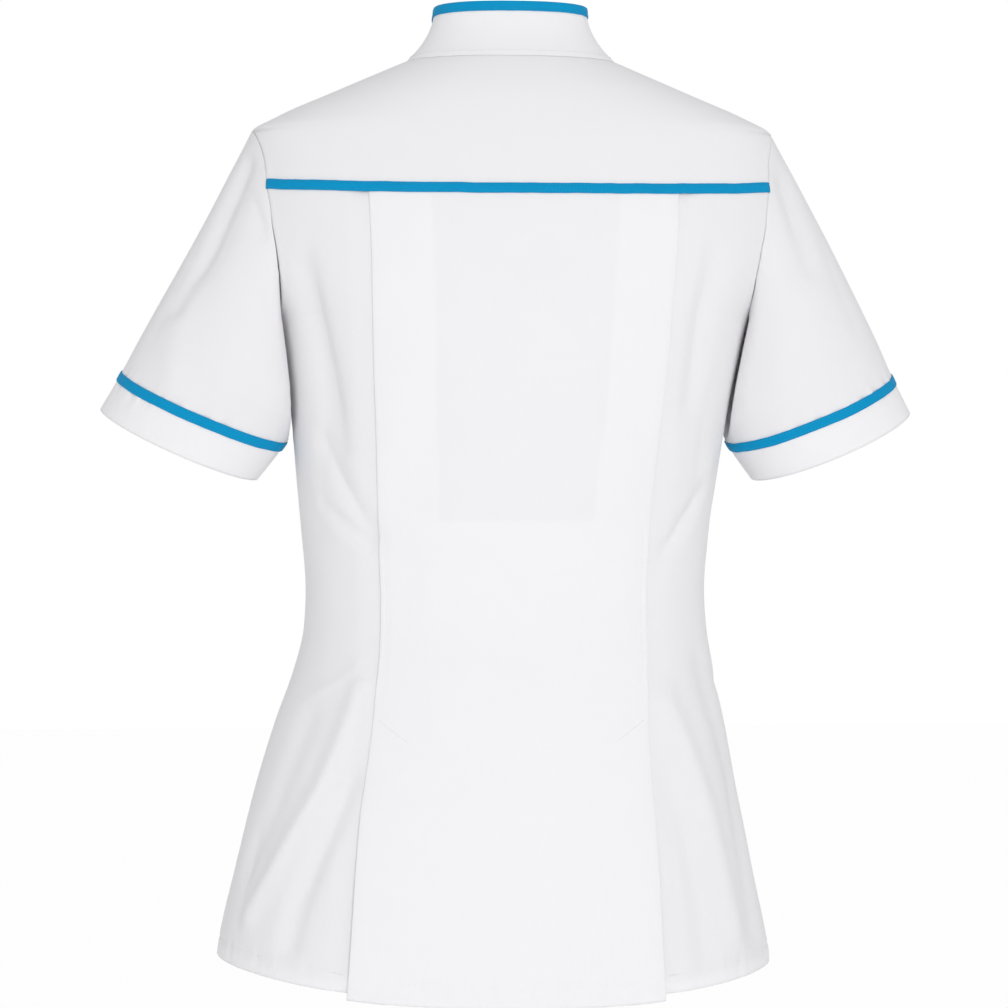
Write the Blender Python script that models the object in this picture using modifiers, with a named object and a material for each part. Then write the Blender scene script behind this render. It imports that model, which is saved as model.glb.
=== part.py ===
"""Women's medical tunic in its worn form, hollow, with no wearer.

The back faces -Y and +X is the wearer's right. The origin lies between the
shoulders, at the height of the neck seam, where the wearer holds the tunic up.
Sizes here are in millimetres and become metres as each mesh is made.
"""

import bisect
import math

import bmesh
import bpy
from mathutils import Matrix, Vector

MM = 0.001

# Cloth and seams
WALL = 1.2
SEAM_GAP = 0.3
SQUARENESS = 2.3

# Body: each row is one level cut through the worn tunic
SECTION_COLUMNS = ("height", "half_width", "back", "front")
SECTIONS = (
    (0, 79, 55, 50),
    (-6, 93, 60, 52),
    (-24, 135, 72, 58),
    (-42, 176.5, 80, 63),
    (-53, 195, 84, 66),
    (-75, 201, 92, 72),
    (-100, 206, 100, 83),
    (-122, 205, 105, 94),
    (-147, 198, 109, 106),
    (-170, 188, 112, 115),
    (-192, 177, 113, 120),
    (-228, 169, 111, 124),
    (-260, 163.5, 108, 122),
    (-312, 157, 102, 115),
    (-348, 152.5, 97, 109),
    (-394, 149, 93, 106),
    (-420, 150.4, 95, 108),
    (-456, 157.5, 103, 113),
    (-492, 167.6, 111, 119),
    (-546, 180.8, 121, 127),
    (-600, 193, 128, 133),
    (-654, 205, 132, 137),
    (-700, 211, 135, 140),
)

# The tunic hangs a little askew: each level's sideways shift, and the hem's tilt
LEAN_COLUMNS = ("height", "shift")
LEANS = (
    (45, 4),
    (0, 4),
    (-53, 5.5),
    (-122, 6.5),
    (-192, 5),
    (-260, 3),
    (-312, 1),
    (-348, 0),
    (-420, 0),
    (-492, -4),
    (-560, -7),
    (-700, -9),
)
HEM_TILT = 3.0
TILT_START = -420
TILT_LENGTH = 200
TILT_HALF_WIDTH = 200

# Shoulders, armholes and neck
SHOULDER_TIP = -53
UNDERARM = -192
ARMHOLE_TURN_BACK = 29
ARMHOLE_TURN_FRONT = 27
ARMHOLE_FULLNESS = 0.8
ARMHOLE_INSET = 0.3
NECK_HALF_WIDTH = 79
NECK_DROP = 75
NECK_ROUNDNESS = 2.4

# Back panels
YOKE_SEAM_CENTRE = -102
YOKE_SEAM_RISE = 6
YOKE_SEAM_TURN = 62
BACK_SEAM_COLUMNS = ("height", "half_width")
BACK_SEAMS = (
    (-106, 112.5),
    (-226, 107),
    (-291, 102.5),
    (-357, 98.7),
    (-400, 97),
    (-484, 99.5),
    (-559, 106.5),
    (-687, 114),
)
PLEAT_END = -336
VENT_TOP = -484
CHANGE_LENGTH = 10
PLEAT_DEPTH = 46
SEAM_ALLOWANCE = 12
VENT_FACING = 26
VENT_UNDERLAP = 36
FOLD_SPACE = 0.6
LAP_GAP = 1.0
STEP_REACH = 26

# Hem
HEM_SIDE = -667.5
HEM_DROP_BACK = 18
HEM_DROP_FRONT = 10
CENTRE_PANEL_DROP = 2.5
HEM_BLEND_START = -600

# Collar
COLLAR_TOP_HALF_WIDTH = 57
COLLAR_TOP_BACK = 42
COLLAR_TOP_FRONT = 60
COLLAR_HEIGHT = 41
COLLAR_FRONT_HEIGHT = 34
COLLAR_WALL = 1.4
COLLAR_END_TURN = 176
COLLAR_CORNER_START = 165
COLLAR_CORNER_CUT = 0.42
COLLAR_COLUMNS = 37
COLLAR_START = 0.006
COLLAR_ROWS = (0.0, 0.25, 0.52, 0.8, 1.0)
BINDING_WIDTH = 7
BINDING_WALL = 0.9
BINDING_LEAN = 0.2
BINDING_GAP = 0.4

# Sleeves: each ring is an oval, its outer end lifted towards the shoulder
RING_COLUMNS = ("along", "centre_x", "centre_y", "centre_height", "half_length", "half_depth", "slope",
                "lag")
SLEEVE_RINGS = (
    (0.72, 216.5, -1, -238, 67.8, 55, 26.5, 6),
    (0.885, 229, 1, -260.5, 67, 52, 22.5, 9),
    (1.0, 245, 3, -285, 65, 50, 23.2, 10),
)
SLEEVE_LENGTH = 234
SLEEVE_SET = 0.8
SLEEVE_CLEARANCE = 4
SLEEVE_COLUMNS = 26
BAND_SEAM = 0.885
BAND_GAP = 1.4
SLEEVE_ROWS = (0.80, 0.71, 0.59, 0.46, 0.34, 0.22, 0.12, 0.05)
BAND_ROWS = (1.0, 0.94)

# Trims
TRIM_WIDTH = 7.4
TRIM_WALL = 1.3

# Centre front zip
FRONT_EDGE = 4.5
TAPE_EDGE = 0.9
TAPE_WIDTH = 14
TAPE_WALL = 1.0
TAPE_GAP = 0.8
TAPE_TOP = -81
TAPE_HEM_CLEARANCE = 3
SLIDER_HEIGHT = -90
SLIDER_LENGTH = 10
SLIDER_WIDTH = 8.2
SLIDER_FACE = 0.4
SLIDER_OVERLAP = 0.2
REAR_PLATE_WALL = 1.1
REAR_PLATE_INSET = 0.5
WEB_HALF_WIDTH = 0.6
BRIDGE_HALF_WIDTH = 1.2
BRIDGE_HALF_LENGTH = 3.4
BRIDGE_FOOT = 0.9
BRIDGE_LOW = 3.0
BRIDGE_TOP = 4.0
PULL_WALL = 1.2
PULL_LENGTH = 27
PULL_WIDTH = 6.6
PULL_OUT = 1.7
PULL_NECK_WALL = 1.1
PULL_SHOULDER = 10
PULL_TIP_LENGTH = 2.5
PULL_TIP_INSET = 2.2
EYE_WIDTH = 3.2
EYE_LENGTH = 4.2
CROSSBAR_WIDTH = 1.1

# Folds: ridges stand out of the cloth and troughs sink into it.
# Each row is the face, a path of (x, height), the lift out of the cloth and the spread.
BODY_FOLDS = (
    ("back", ((-149, -151), (-140, -190), (-131, -232), (-124, -284)), -4.0, 12),
    ("back", ((140, -154), (131, -204), (126, -256)), -2.8, 12),
    ("back", ((-142, -284), (-121, -320), (-104, -352)), -2.6, 8),
    ("back", ((-138, -330), (-106, -359)), -1.8, 6),
    ("back", ((-146, -316), (-128, -350)), 1.0, 9),
    ("back", ((142, -318), (112, -364)), -2.8, 7),
    ("back", ((147, -300), (134, -350)), 1.2, 9),
    ("back", ((-110, -462), (-122, -500), (-134, -533), (-165, -594), (-184, -632)), 4.0, 9),
    ("back", ((-116, -530), (-124, -556), (-138, -588), (-150, -618), (-156, -650)), -4.0, 9),
    ("back", ((-146, -490), (-168, -556), (-186, -600)), -3.0, 12),
    ("back", ((112, -472), (130, -506), (150, -555), (170, -640)), 4.0, 9),
    ("back", ((142, -450), (170, -530), (188, -640)), -3.5, 12),
    ("back", ((118, -530), (134, -585), (146, -655)), -3.0, 10),
    ("back", ((8, -182), (40, -262), (60, -322)), 2.0, 26),
    ("back", ((-62, -262), (-76, -330)), -2.0, 20),
    ("front", ((-132, -222), (-60, -236)), -2.5, 12),
    ("front", ((134, -216), (64, -234)), -2.5, 12),
    ("front", ((-138, -300), (-112, -372)), -4.0, 12),
    ("front", ((136, -312), (106, -376)), -4.0, 11),
    ("front", ((-96, -440), (-128, -540), (-138, -650)), 5.0, 18),
    ("front", ((-60, -470), (-84, -560), (-88, -650)), -5.0, 15),
    ("front", ((92, -450), (118, -552), (134, -650)), 5.0, 18),
    ("front", ((56, -480), (74, -570), (82, -650)), -4.5, 15),
)

# Sleeve folds: -1 is the left sleeve, and the path is of (turn, share of the length)
SLEEVE_FOLDS = (
    (-1, ((40, 0.09), (41, 0.22), (41, 0.36), (36, 0.56)), -4.0, 9),
    (-1, ((48, 0.14), (64, 0.11), (82, 0.10)), -2.0, 7),
    (-1, ((36, 0.50), (60, 0.80)), 2.5, 12),
    (1, ((40, 0.10), (50, 0.20), (58, 0.34)), -2.5, 11),
    (1, ((110, 0.30), (124, 0.60)), -1.5, 11),
    (-1, ((290, 0.14), (264, 0.52)), -3.5, 12),
    (1, ((284, 0.10), (268, 0.46)), -3.5, 12),
    (1, ((318, 0.44), (300, 0.78)), 2.5, 12),
)

# Levels of the grid rows
LOWER_ROWS = (-600, -560, -525, -498, -489, -479, -450, -420, -394, -368, -346, -337, -328, -298,
              -268, -240, -214, -192)
FRONT_LOWER_ROWS = (-600, -560, -525, -490, -455, -424, -394, -364, -332, -300, -270, -240, -214, -192)
ARMHOLE_ROWS = (-189.6, -182.7, -171.6, -157.3, -140.5)
FRONT_UPPER_ROWS = (-122.5, -104.5, -87.7, -75.4, -72, -66, -60, -56, -53.7, -53)
SHOULDER_ROWS = (-44, -34, -24, -15, -7, -2)
FRONT_NECK_EDGE = -0.35
YOKE_ROWS = (-96, -86, -76, -67, -60, -56, -53.7, -53)
HEM_FRACTIONS = (0.0, 0.33, 0.67)
UPPER_FRACTIONS = (0.34, 0.67, 1.0)
NECK_EDGE = -0.1
FRONT_ROWS = FRONT_LOWER_ROWS + ARMHOLE_ROWS + FRONT_UPPER_ROWS + SHOULDER_ROWS + (FRONT_NECK_EDGE,)

CLOTH_COLOUR = (0.86, 0.87, 0.89, 1.0)
TRIM_COLOUR = (0.0, 0.30, 0.54, 1.0)
TAPE_COLOUR = (0.82, 0.83, 0.85, 1.0)
METAL_COLOUR = (0.72, 0.72, 0.73, 1.0)


class SmoothCurve:
    """A curve through a table's points that never overshoots them."""

    def __init__(self, places, values):
        pairs = sorted(zip(places, values))
        self.places = [place for place, value in pairs]
        self.values = [value for place, value in pairs]
        self.slopes = self.find_slopes()

    def find_slopes(self):
        steps = []
        for k in range(len(self.places) - 1):
            run = self.places[k + 1] - self.places[k]
            steps.append((self.values[k + 1] - self.values[k]) / run)
        slopes = [steps[0]]
        for before, after in zip(steps, steps[1:]):
            if before * after <= 0:
                slopes.append(0.0)
            else:
                slopes.append(2 * before * after / (before + after))
        slopes.append(steps[-1])
        return slopes

    def __call__(self, place):
        k = bisect.bisect_right(self.places, place) - 1
        k = max(0, min(k, len(self.places) - 2))
        run = self.places[k + 1] - self.places[k]
        t = max(0.0, min(1.0, (place - self.places[k]) / run))
        rise = (2 * t ** 3 - 3 * t ** 2 + 1) * self.values[k]
        rise += (t ** 3 - 2 * t ** 2 + t) * run * self.slopes[k]
        rise += (3 * t ** 2 - 2 * t ** 3) * self.values[k + 1]
        rise += (t ** 3 - t ** 2) * run * self.slopes[k + 1]
        return rise


def table_curves(columns, rows):
    """One smooth curve for each column after the first, over the first."""
    places = [row[0] for row in rows]
    return {name: SmoothCurve(places, [row[k] for row in rows])
            for k, name in enumerate(columns) if k > 0}


SECTION = table_curves(SECTION_COLUMNS, SECTIONS)
BACK_SEAM = table_curves(BACK_SEAM_COLUMNS, BACK_SEAMS)


def ease(t):
    """Smooth step from 0 to 1."""
    t = max(0.0, min(1.0, t))
    return t * t * (3 - 2 * t)


LEAN = table_curves(LEAN_COLUMNS, LEANS)["shift"]


def askew(point):
    """The point, as the tunic hangs: shifted sideways, and lower towards the right hem."""
    tilt = HEM_TILT * point.x / TILT_HALF_WIDTH * ease((TILT_START - point.z) / TILT_LENGTH)
    return Vector((point.x + LEAN(point.z), point.y, point.z - tilt))


def mix(a, b, t):
    return a + (b - a) * t


# The body's form

def section(angle, height):
    """Point of the plain body: angle 0 is centre back, 90 the right side, 180 centre front."""
    sine = math.sin(math.radians(angle))
    cosine = math.cos(math.radians(angle))
    power = 2 / SQUARENESS
    depth = SECTION["back"](height) if cosine > 0 else SECTION["front"](height)
    x = math.copysign(SECTION["half_width"](height) * abs(sine) ** power, sine)
    y = -math.copysign(depth * abs(cosine) ** power, cosine)
    return Vector((x, y, height))


def outward(angle, height):
    """Unit direction straight out of the body's surface."""
    across = section(angle + 0.5, height) - section(angle - 0.5, height)
    up = section(angle, min(height + 1, 0)) - section(angle, height - 1)
    return across.cross(up).normalized()


def angle_at(x, height, face):
    """Angle at which the body's section has this distance from its middle."""
    turn = math.degrees(math.asin(min(1.0, abs(x) / SECTION["half_width"](height)) ** (SQUARENESS / 2)))
    turn = turn if face == "back" else 180 - turn
    return math.copysign(turn, x)


def distance_to_path(point, path):
    """Shortest distance from a point to a chain of straight runs."""
    nearest = 1e9
    for start, end in zip(path, path[1:]):
        run = end - start
        t = max(0.0, min(1.0, (point - start).dot(run) / run.length_squared))
        nearest = min(nearest, (point - start - run * t).length)
    return nearest


def body_path(face, path):
    return [section(angle_at(x, height, face), height) for x, height in path]


FOLDS = [(body_path(face, path), lift, spread) for face, path, lift, spread in BODY_FOLDS]


def fold_lift(point, folds):
    """How far the folds move the cloth out at this point."""
    return sum(lift * math.exp(-(distance_to_path(point, path) / spread) ** 2)
               for path, lift, spread in folds)


def body(angle, height, out=0.0):
    """Point of the folded body, moved out by some distance."""
    point = section(angle, height)
    return point + outward(angle, height) * (fold_lift(point, FOLDS) + out)


def moved_angle(angle, height, length):
    """Angle reached after this length round the body's section."""
    length_per_degree = (section(angle + 0.5, height) - section(angle - 0.5, height)).length
    return angle + length / length_per_degree


def hem(angle):
    """Height of the hem's edge."""
    cosine = math.cos(math.radians(angle))
    drop = HEM_DROP_BACK if cosine > 0 else HEM_DROP_FRONT
    return HEM_SIDE - drop * cosine ** 2


def yoke_seam(angle):
    return YOKE_SEAM_CENTRE + YOKE_SEAM_RISE * min(1.0, (angle / YOKE_SEAM_TURN) ** 2)


# The armhole, by its own turn: 0 at the shoulder tip, 90 at the back, 180 at the underarm

ARMHOLE_MIDDLE = (SHOULDER_TIP + UNDERARM) / 2
ARMHOLE_HALF = (SHOULDER_TIP - UNDERARM) / 2


def armhole_place(turn):
    """Body angle and height on the armhole's seam, on the right side."""
    sine = math.sin(math.radians(turn))
    height = ARMHOLE_MIDDLE + ARMHOLE_HALF * math.cos(math.radians(turn))
    reach = ARMHOLE_TURN_BACK if sine > 0 else ARMHOLE_TURN_FRONT
    return 90 - math.copysign(reach * abs(sine) ** ARMHOLE_FULLNESS, sine), height


def armhole_angle(height, face):
    """Body angle of the armhole's seam at a height, or 90 above and below it."""
    cosine = (height - ARMHOLE_MIDDLE) / ARMHOLE_HALF
    if abs(cosine) >= 1:
        return 90.0
    turn = math.degrees(math.acos(cosine))
    return armhole_place(turn if face == "back" else -turn)[0]


def side_edge(height, face):
    """Body angle at which a panel ends at the side seam, the armhole or the shoulder seam."""
    edge = armhole_angle(height, face)
    inset = ARMHOLE_INSET if UNDERARM < height < SHOULDER_TIP + 0.5 else SEAM_GAP / 2
    return moved_angle(edge, height, -inset if face == "back" else inset)


# Making the solids

def material(name, colour, roughness, metallic=0.0):
    made = bpy.data.materials.new(name)
    made.use_nodes = True
    shader = made.node_tree.nodes["Principled BSDF"]
    shader.inputs["Base Color"].default_value = colour
    shader.inputs["Roughness"].default_value = roughness
    shader.inputs["Metallic"].default_value = metallic
    made.diffuse_color = colour
    return made


def place_object(name, data, finish, collection):
    made = bpy.data.objects.new(name, data)
    data.materials.append(finish)
    collection.objects.link(made)
    return made


def wall(name, grid, finish, thickness=WALL, side=1, ring=False, outwards=False):
    """A cloth wall over rows of points that run rightwards and upwards, seen from outside."""
    shell = bmesh.new()
    rows = [[shell.verts.new(askew(point) * MM) for point in row] for row in grid]
    columns = len(grid[0])
    for lower, upper in zip(rows, rows[1:]):
        for k in range(columns if ring else columns - 1):
            after = (k + 1) % columns
            corners = (lower[k], lower[after], upper[after], upper[k])
            shell.faces.new(corners if side > 0 else corners[::-1])
    mesh = bpy.data.meshes.new(name)
    shell.to_mesh(mesh)
    shell.free()
    mesh.shade_smooth()
    made = place_object(name, mesh, finish, TUNIC)
    solid = made.modifiers.new("Wall", "SOLIDIFY")
    solid.thickness = thickness * MM
    solid.offset = 1.0 if outwards else -1.0
    solid.use_even_offset = True
    solid.use_quality_normals = True
    return made


def mirrored(grid):
    """The same rows of points on the other side of the body's middle."""
    return [[Vector((-point.x, point.y, point.z)) for point in row] for row in grid]


# Back panels

def back_row_height(level, angle, drop=0.0):
    """Height of a grid row at an angle; levels are hem fractions, heights or upper fractions."""
    kind, value = level
    if kind == "hem":
        return mix(hem(angle) - drop, HEM_BLEND_START, value)
    if kind == "upper":
        return mix(ARMHOLE_ROWS[-1], yoke_seam(angle) - SEAM_GAP / 2, value)
    return value


BACK_LEVELS = ([("hem", f) for f in HEM_FRACTIONS]
               + [("height", h) for h in LOWER_ROWS + ARMHOLE_ROWS]
               + [("upper", f) for f in UPPER_FRACTIONS])


def lap_width(height, vent_width):
    """Width of the cloth folded or lapped below the centre panel's edge."""
    pleat = ease((height - PLEAT_END) / CHANGE_LENGTH)
    vent = ease((VENT_TOP + CHANGE_LENGTH / 2 - height) / CHANGE_LENGTH)
    return SEAM_ALLOWANCE + (PLEAT_DEPTH - SEAM_ALLOWANCE) * pleat + (vent_width - SEAM_ALLOWANCE) * vent


def back_seam_angle(height):
    return angle_at(BACK_SEAM["half_width"](height), height, "back")


def make_centre_back():
    outer_steps = 5
    turn_radius = WALL + FOLD_SPACE / 2
    grid = []
    for level in BACK_LEVELS:
        middle_height = back_row_height(level, 0, CENTRE_PANEL_DROP)
        edge = back_seam_angle(middle_height)
        return_width = lap_width(middle_height, VENT_FACING)
        places = [(edge * k / outer_steps, 0.0) for k in range(outer_steps + 1)]
        for bend in (60, 120):
            beyond = turn_radius * math.sin(math.radians(bend))
            depth = turn_radius * (1 - math.cos(math.radians(bend)))
            places.append((moved_angle(edge, middle_height, beyond), depth))
        for share in (0.0, 0.5, 1.0):
            places.append((moved_angle(edge, middle_height, -return_width * share), 2 * turn_radius))
        row = [(-angle, depth) for angle, depth in places[:0:-1]] + places
        grid.append([body(angle, back_row_height(level, angle, CENTRE_PANEL_DROP), -depth)
                     for angle, depth in row])
    wall("centre_back", grid, CLOTH)


def side_back_grid(side):
    """Rows from the underlap's inner edge, below the centre panel, out to the side or armhole."""
    lap_depth = 2 * WALL + FOLD_SPACE + LAP_GAP
    outer_steps = 5
    grid = []
    for level in BACK_LEVELS:
        height = back_row_height(level, back_seam_angle(back_row_height(level, 45)))
        edge = back_seam_angle(height)
        underlap = lap_width(height, VENT_UNDERLAP)
        end = side_edge(back_row_height(level, 80), "back")
        places = [(moved_angle(edge, height, -underlap), lap_depth),
                  (moved_angle(edge, height, -underlap / 2), lap_depth),
                  (edge, lap_depth),
                  (moved_angle(edge, height, 3), lap_depth),
                  (moved_angle(edge, height, STEP_REACH / 2), lap_depth * (1 - ease(0.5)))]
        flat_start = moved_angle(edge, height, STEP_REACH)
        places += [(mix(flat_start, end, k / outer_steps), 0.0) for k in range(outer_steps + 1)]
        grid.append([body(side * angle, back_row_height(level, angle), -depth) for angle, depth in places])
    return grid


def make_yoke():
    steps = 20
    grid = []
    for height in YOKE_ROWS + SHOULDER_ROWS + (NECK_EDGE,):
        end = side_edge(height, "back")
        dip_share = ease((SHOULDER_TIP - height) / (SHOULDER_TIP - YOKE_ROWS[0]))
        row = []
        for k in range(steps + 1):
            angle = mix(-end, end, k / steps)
            dip = (yoke_seam(angle) + SEAM_GAP / 2 - YOKE_ROWS[0]) * dip_share
            row.append(body(angle, height + dip))
        grid.append(row)
    wall("back_yoke", grid, CLOTH)


# Fronts

def neck_place(turn):
    """Body angle and height of the neck seam, by the turn round the neck from centre back."""
    around = abs(turn)
    if around <= 90:
        return turn, 0.0
    forward = math.radians(around - 90)
    height = -NECK_DROP * math.sin(forward) ** NECK_ROUNDNESS
    return math.copysign(angle_at(NECK_HALF_WIDTH * math.cos(forward), height, "front"), turn), height


def neck_edge(height):
    """Body angle of the front neck seam at a height."""
    rise = (-height / NECK_DROP) ** (1 / NECK_ROUNDNESS)
    half = NECK_HALF_WIDTH * math.sqrt(max(0.0, 1 - rise * rise))
    return angle_at(half, height, "front")


def front_edge(height):
    """Body angle at which a front ends, at the zip or the neck seam."""
    zip_side = angle_at(FRONT_EDGE, height, "front")
    if height <= -NECK_DROP:
        return zip_side
    return min(zip_side, moved_angle(neck_edge(height), height, -2 * SEAM_GAP))


def front_grid(side):
    steps = 6
    levels = [("hem", f) for f in HEM_FRACTIONS]
    levels += [("height", h) for h in FRONT_ROWS]
    grid = []
    for level in levels:
        height = back_row_height(level, 120)
        start = side_edge(height, "front")
        end = front_edge(height)
        tape_line = min(angle_at(TAPE_EDGE + TAPE_WIDTH, height, "front"), mix(start, end, 0.9))
        angles = [mix(start, tape_line, k / steps) for k in range(steps + 1)] + [end]
        grid.append([body(side * angle, back_row_height(level, angle)) for angle in angles])
    return grid


# Sleeves

RINGS = table_curves(RING_COLUMNS, SLEEVE_RINGS)


def ring_point(turn, along):
    """Point on a sleeve's oval ring, on the right side; turn 0 is its outer end, 90 its back."""
    ring = {name: RINGS[name](along) for name in RING_COLUMNS[1:]}
    slope = math.radians(ring["slope"])
    reach = ring["half_length"] * math.cos(math.radians(turn))
    back = math.sin(math.radians(turn))
    return Vector((ring["centre_x"] + reach * math.cos(slope),
                   ring["centre_y"] - ring["half_depth"] * back,
                   ring["centre_height"] + reach * math.sin(slope) - ring["lag"] * back))


def clear_of_body(point, gap):
    """The point, moved straight out where it would come nearer to the body than the gap."""
    depth = SECTION["back" if point.y < 0 else "front"](point.z) + gap
    half_width = SECTION["half_width"](point.z) + gap
    face = "back" if point.y < 0 else "front"
    around = math.degrees(math.acos(min(1.0, abs(point.y) / depth) ** (SQUARENESS / 2)))
    if point.z > UNDERARM and around > abs(90 - abs(90 - armhole_angle(point.z, face))):
        return point
    share = (abs(point.x) / half_width) ** SQUARENESS + (abs(point.y) / depth) ** SQUARENESS
    if share >= 1:
        return point
    factor = share ** (-1 / SQUARENESS)
    return Vector((point.x * factor, point.y * factor, point.z))


def sleeve_plain(turn, along):
    """Point of an unfolded right sleeve, from the armhole at 0 to the hem at 1."""
    first = SLEEVE_RINGS[0][0]
    start = section(*armhole_place(turn))
    if along >= first:
        point = ring_point(turn, along)
    else:
        end = ring_point(turn, first)
        leave = (ring_point(turn, first + 0.05) - end) / 0.05 * first
        t = along / first
        chord = end - start
        arrive = chord * 0.55 + leave * 0.45
        point = start * (2 * t ** 3 - 3 * t ** 2 + 1) + chord * (t ** 3 - 2 * t ** 2 + t)
        point += end * (3 * t ** 2 - 2 * t ** 3) + arrive * (t ** 3 - t ** 2)
    gap = mix(0.5, SLEEVE_CLEARANCE, ease(along * SLEEVE_LENGTH / 30))
    return clear_of_body(point, gap)


def sleeve_normal(turn, along):
    across = sleeve_plain(turn + 2, along) - sleeve_plain(turn - 2, along)
    down = sleeve_plain(turn, min(1.0, along + 0.02)) - sleeve_plain(turn, max(0.0, along - 0.02))
    return across.cross(down).normalized()


SLEEVE_PATHS = {side: [([sleeve_plain(turn, along) for turn, along in path], lift, spread)
                       for sleeve, path, lift, spread in SLEEVE_FOLDS if sleeve == side]
                for side in (-1, 1)}


def sleeve_point(side, turn, along, out=0.0):
    """Point of a folded sleeve, before it is mirrored for the left side."""
    point = sleeve_plain(turn, along)
    seam_hold = ease(along / 0.10)
    lift = fold_lift(point, SLEEVE_PATHS[side]) * seam_hold
    return point + sleeve_normal(turn, along) * (lift + out)


def sleeve_grid(side, alongs, out=0.0):
    """Rings of points from the lowest to the highest."""
    turns = [360 * k / SLEEVE_COLUMNS for k in range(SLEEVE_COLUMNS)]
    grid = [[sleeve_point(side, turn, along, out) for turn in turns] for along in alongs]
    return grid if side > 0 else mirrored(grid)


def make_sleeve(side, name):
    gap = BAND_GAP / 2 / SLEEVE_LENGTH
    half_trim = TRIM_WIDTH / 2 / SLEEVE_LENGTH
    sleeve = sleeve_grid(side, (BAND_SEAM - gap,) + SLEEVE_ROWS + (SLEEVE_SET / SLEEVE_LENGTH,))
    wall("sleeve_" + name, sleeve, CLOTH, side=-side, ring=True)
    band = sleeve_grid(side, BAND_ROWS + (BAND_SEAM + gap,))
    wall("sleeve_band_" + name, band, CLOTH, side=-side, ring=True)
    trim = sleeve_grid(side, (BAND_SEAM + half_trim, BAND_SEAM - half_trim), SEAM_GAP)
    wall("sleeve_trim_" + name, trim, TRIM, TRIM_WALL, side=-side, ring=True, outwards=True)


# Collar

def collar_point(turn, rise):
    """Point of the stand collar, from the neck seam at 0 to the top edge at 1."""
    angle, height = neck_place(turn)
    base = body(angle, height)
    forward = math.radians(max(0.0, abs(turn) - 90))
    power = 2 / SQUARENESS
    if abs(turn) <= 90:
        across = math.sin(math.radians(abs(turn))) ** power
        deep = -COLLAR_TOP_BACK * math.cos(math.radians(turn)) ** power
    else:
        across = math.cos(forward)
        deep = COLLAR_TOP_FRONT * math.sin(forward) ** power
    stand = mix(COLLAR_HEIGHT, COLLAR_FRONT_HEIGHT, math.sin(forward))
    top = Vector((math.copysign(COLLAR_TOP_HALF_WIDTH * across, turn), deep, height + stand))
    narrowing = rise + (rise - rise ** 2) * (1 - math.sin(forward))
    return Vector((mix(base.x, top.x, narrowing), mix(base.y, top.y, narrowing), mix(base.z, top.z, rise)))


def collar_top(turn):
    """How far up the collar ends; its two front corners are rounded."""
    beyond = max(0.0, (abs(turn) - COLLAR_CORNER_START) / (COLLAR_END_TURN - COLLAR_CORNER_START))
    return 1 - COLLAR_CORNER_CUT * beyond ** 2


def collar_turns():
    return [mix(-COLLAR_END_TURN, COLLAR_END_TURN, k / (COLLAR_COLUMNS - 1)) for k in range(COLLAR_COLUMNS)]


def make_collar():
    grid = [[collar_point(turn, mix(COLLAR_START, collar_top(turn), share)) for turn in collar_turns()]
            for share in COLLAR_ROWS]
    wall("collar_stand", grid, CLOTH, COLLAR_WALL)


def make_binding():
    """A folded strip over the collar's top edge, from its outer side over to its inner side."""
    inner = -COLLAR_WALL - BINDING_GAP
    profile = ((BINDING_GAP, -BINDING_WIDTH), (BINDING_GAP, SEAM_GAP),
               (inner, SEAM_GAP), (inner, -BINDING_WIDTH))
    grid = [[] for corner in profile]
    for turn in collar_turns():
        edge = collar_point(turn, collar_top(turn))
        up = (edge - collar_point(turn, collar_top(turn) - BINDING_LEAN)).normalized()
        across = collar_point(turn + 1, 0.8) - collar_point(turn - 1, 0.8)
        out = across.cross(up).normalized()
        for row, (out_by, up_by) in zip(grid, profile):
            row.append(edge + out * out_by + up * up_by)
    wall("collar_binding", grid, TRIM, BINDING_WALL, outwards=True)


def make_yoke_trim():
    steps = 26
    end = side_edge(YOKE_ROWS[0], "back")
    grid = []
    for share in (-0.5, 0.0, 0.5):
        angles = [mix(-end, end, k / steps) for k in range(steps + 1)]
        grid.append([body(angle, yoke_seam(angle) + share * TRIM_WIDTH, SEAM_GAP) for angle in angles])
    wall("yoke_trim", grid, TRIM, TRIM_WALL, outwards=True)


# Centre front zip

def make_tape(side, name):
    below = WALL + TAPE_GAP
    bottom = hem(180) + TAPE_HEM_CLEARANCE
    heights = [mix(bottom, HEM_BLEND_START, share) for share in (0.0, 0.5)]
    heights += [h for h in FRONT_ROWS if h < TAPE_TOP]
    heights.append(TAPE_TOP)
    grid = []
    for height in heights:
        edges = (TAPE_EDGE + TAPE_WIDTH, TAPE_EDGE)
        grid.append([body(side * angle_at(x, height, "front"), height, -below) for x in edges])
    wall("zip_tape_" + name, grid, TAPE, TAPE_WALL, side=side)


def zip_frame():
    """Axes at the slider: X across, Y straight out of the cloth, Z up along the zip."""
    centre = body(180, SLIDER_HEIGHT)
    up = (section(180, SLIDER_HEIGHT + 5) - section(180, SLIDER_HEIGHT - 5)).normalized()
    across = Vector((1, 0, 0))
    out = up.cross(across)
    frame = Matrix((across, out, up)).transposed().to_4x4()
    frame.translation = askew(centre) * MM
    return frame


def block(name, frame, low, high, collection):
    """A box between two corners in a frame's own axes."""
    mesh = bpy.data.meshes.new(name)
    shell = bmesh.new()
    bmesh.ops.create_cube(shell, size=1.0)
    size = [(b - a) * MM for a, b in zip(low, high)]
    middle = Vector([(a + b) / 2 * MM for a, b in zip(low, high)])
    bmesh.ops.scale(shell, vec=size, verts=shell.verts)
    bmesh.ops.translate(shell, vec=middle, verts=shell.verts)
    shell.to_mesh(mesh)
    shell.free()
    made = place_object(name, mesh, METAL, collection)
    made.matrix_world = frame
    return made


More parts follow.
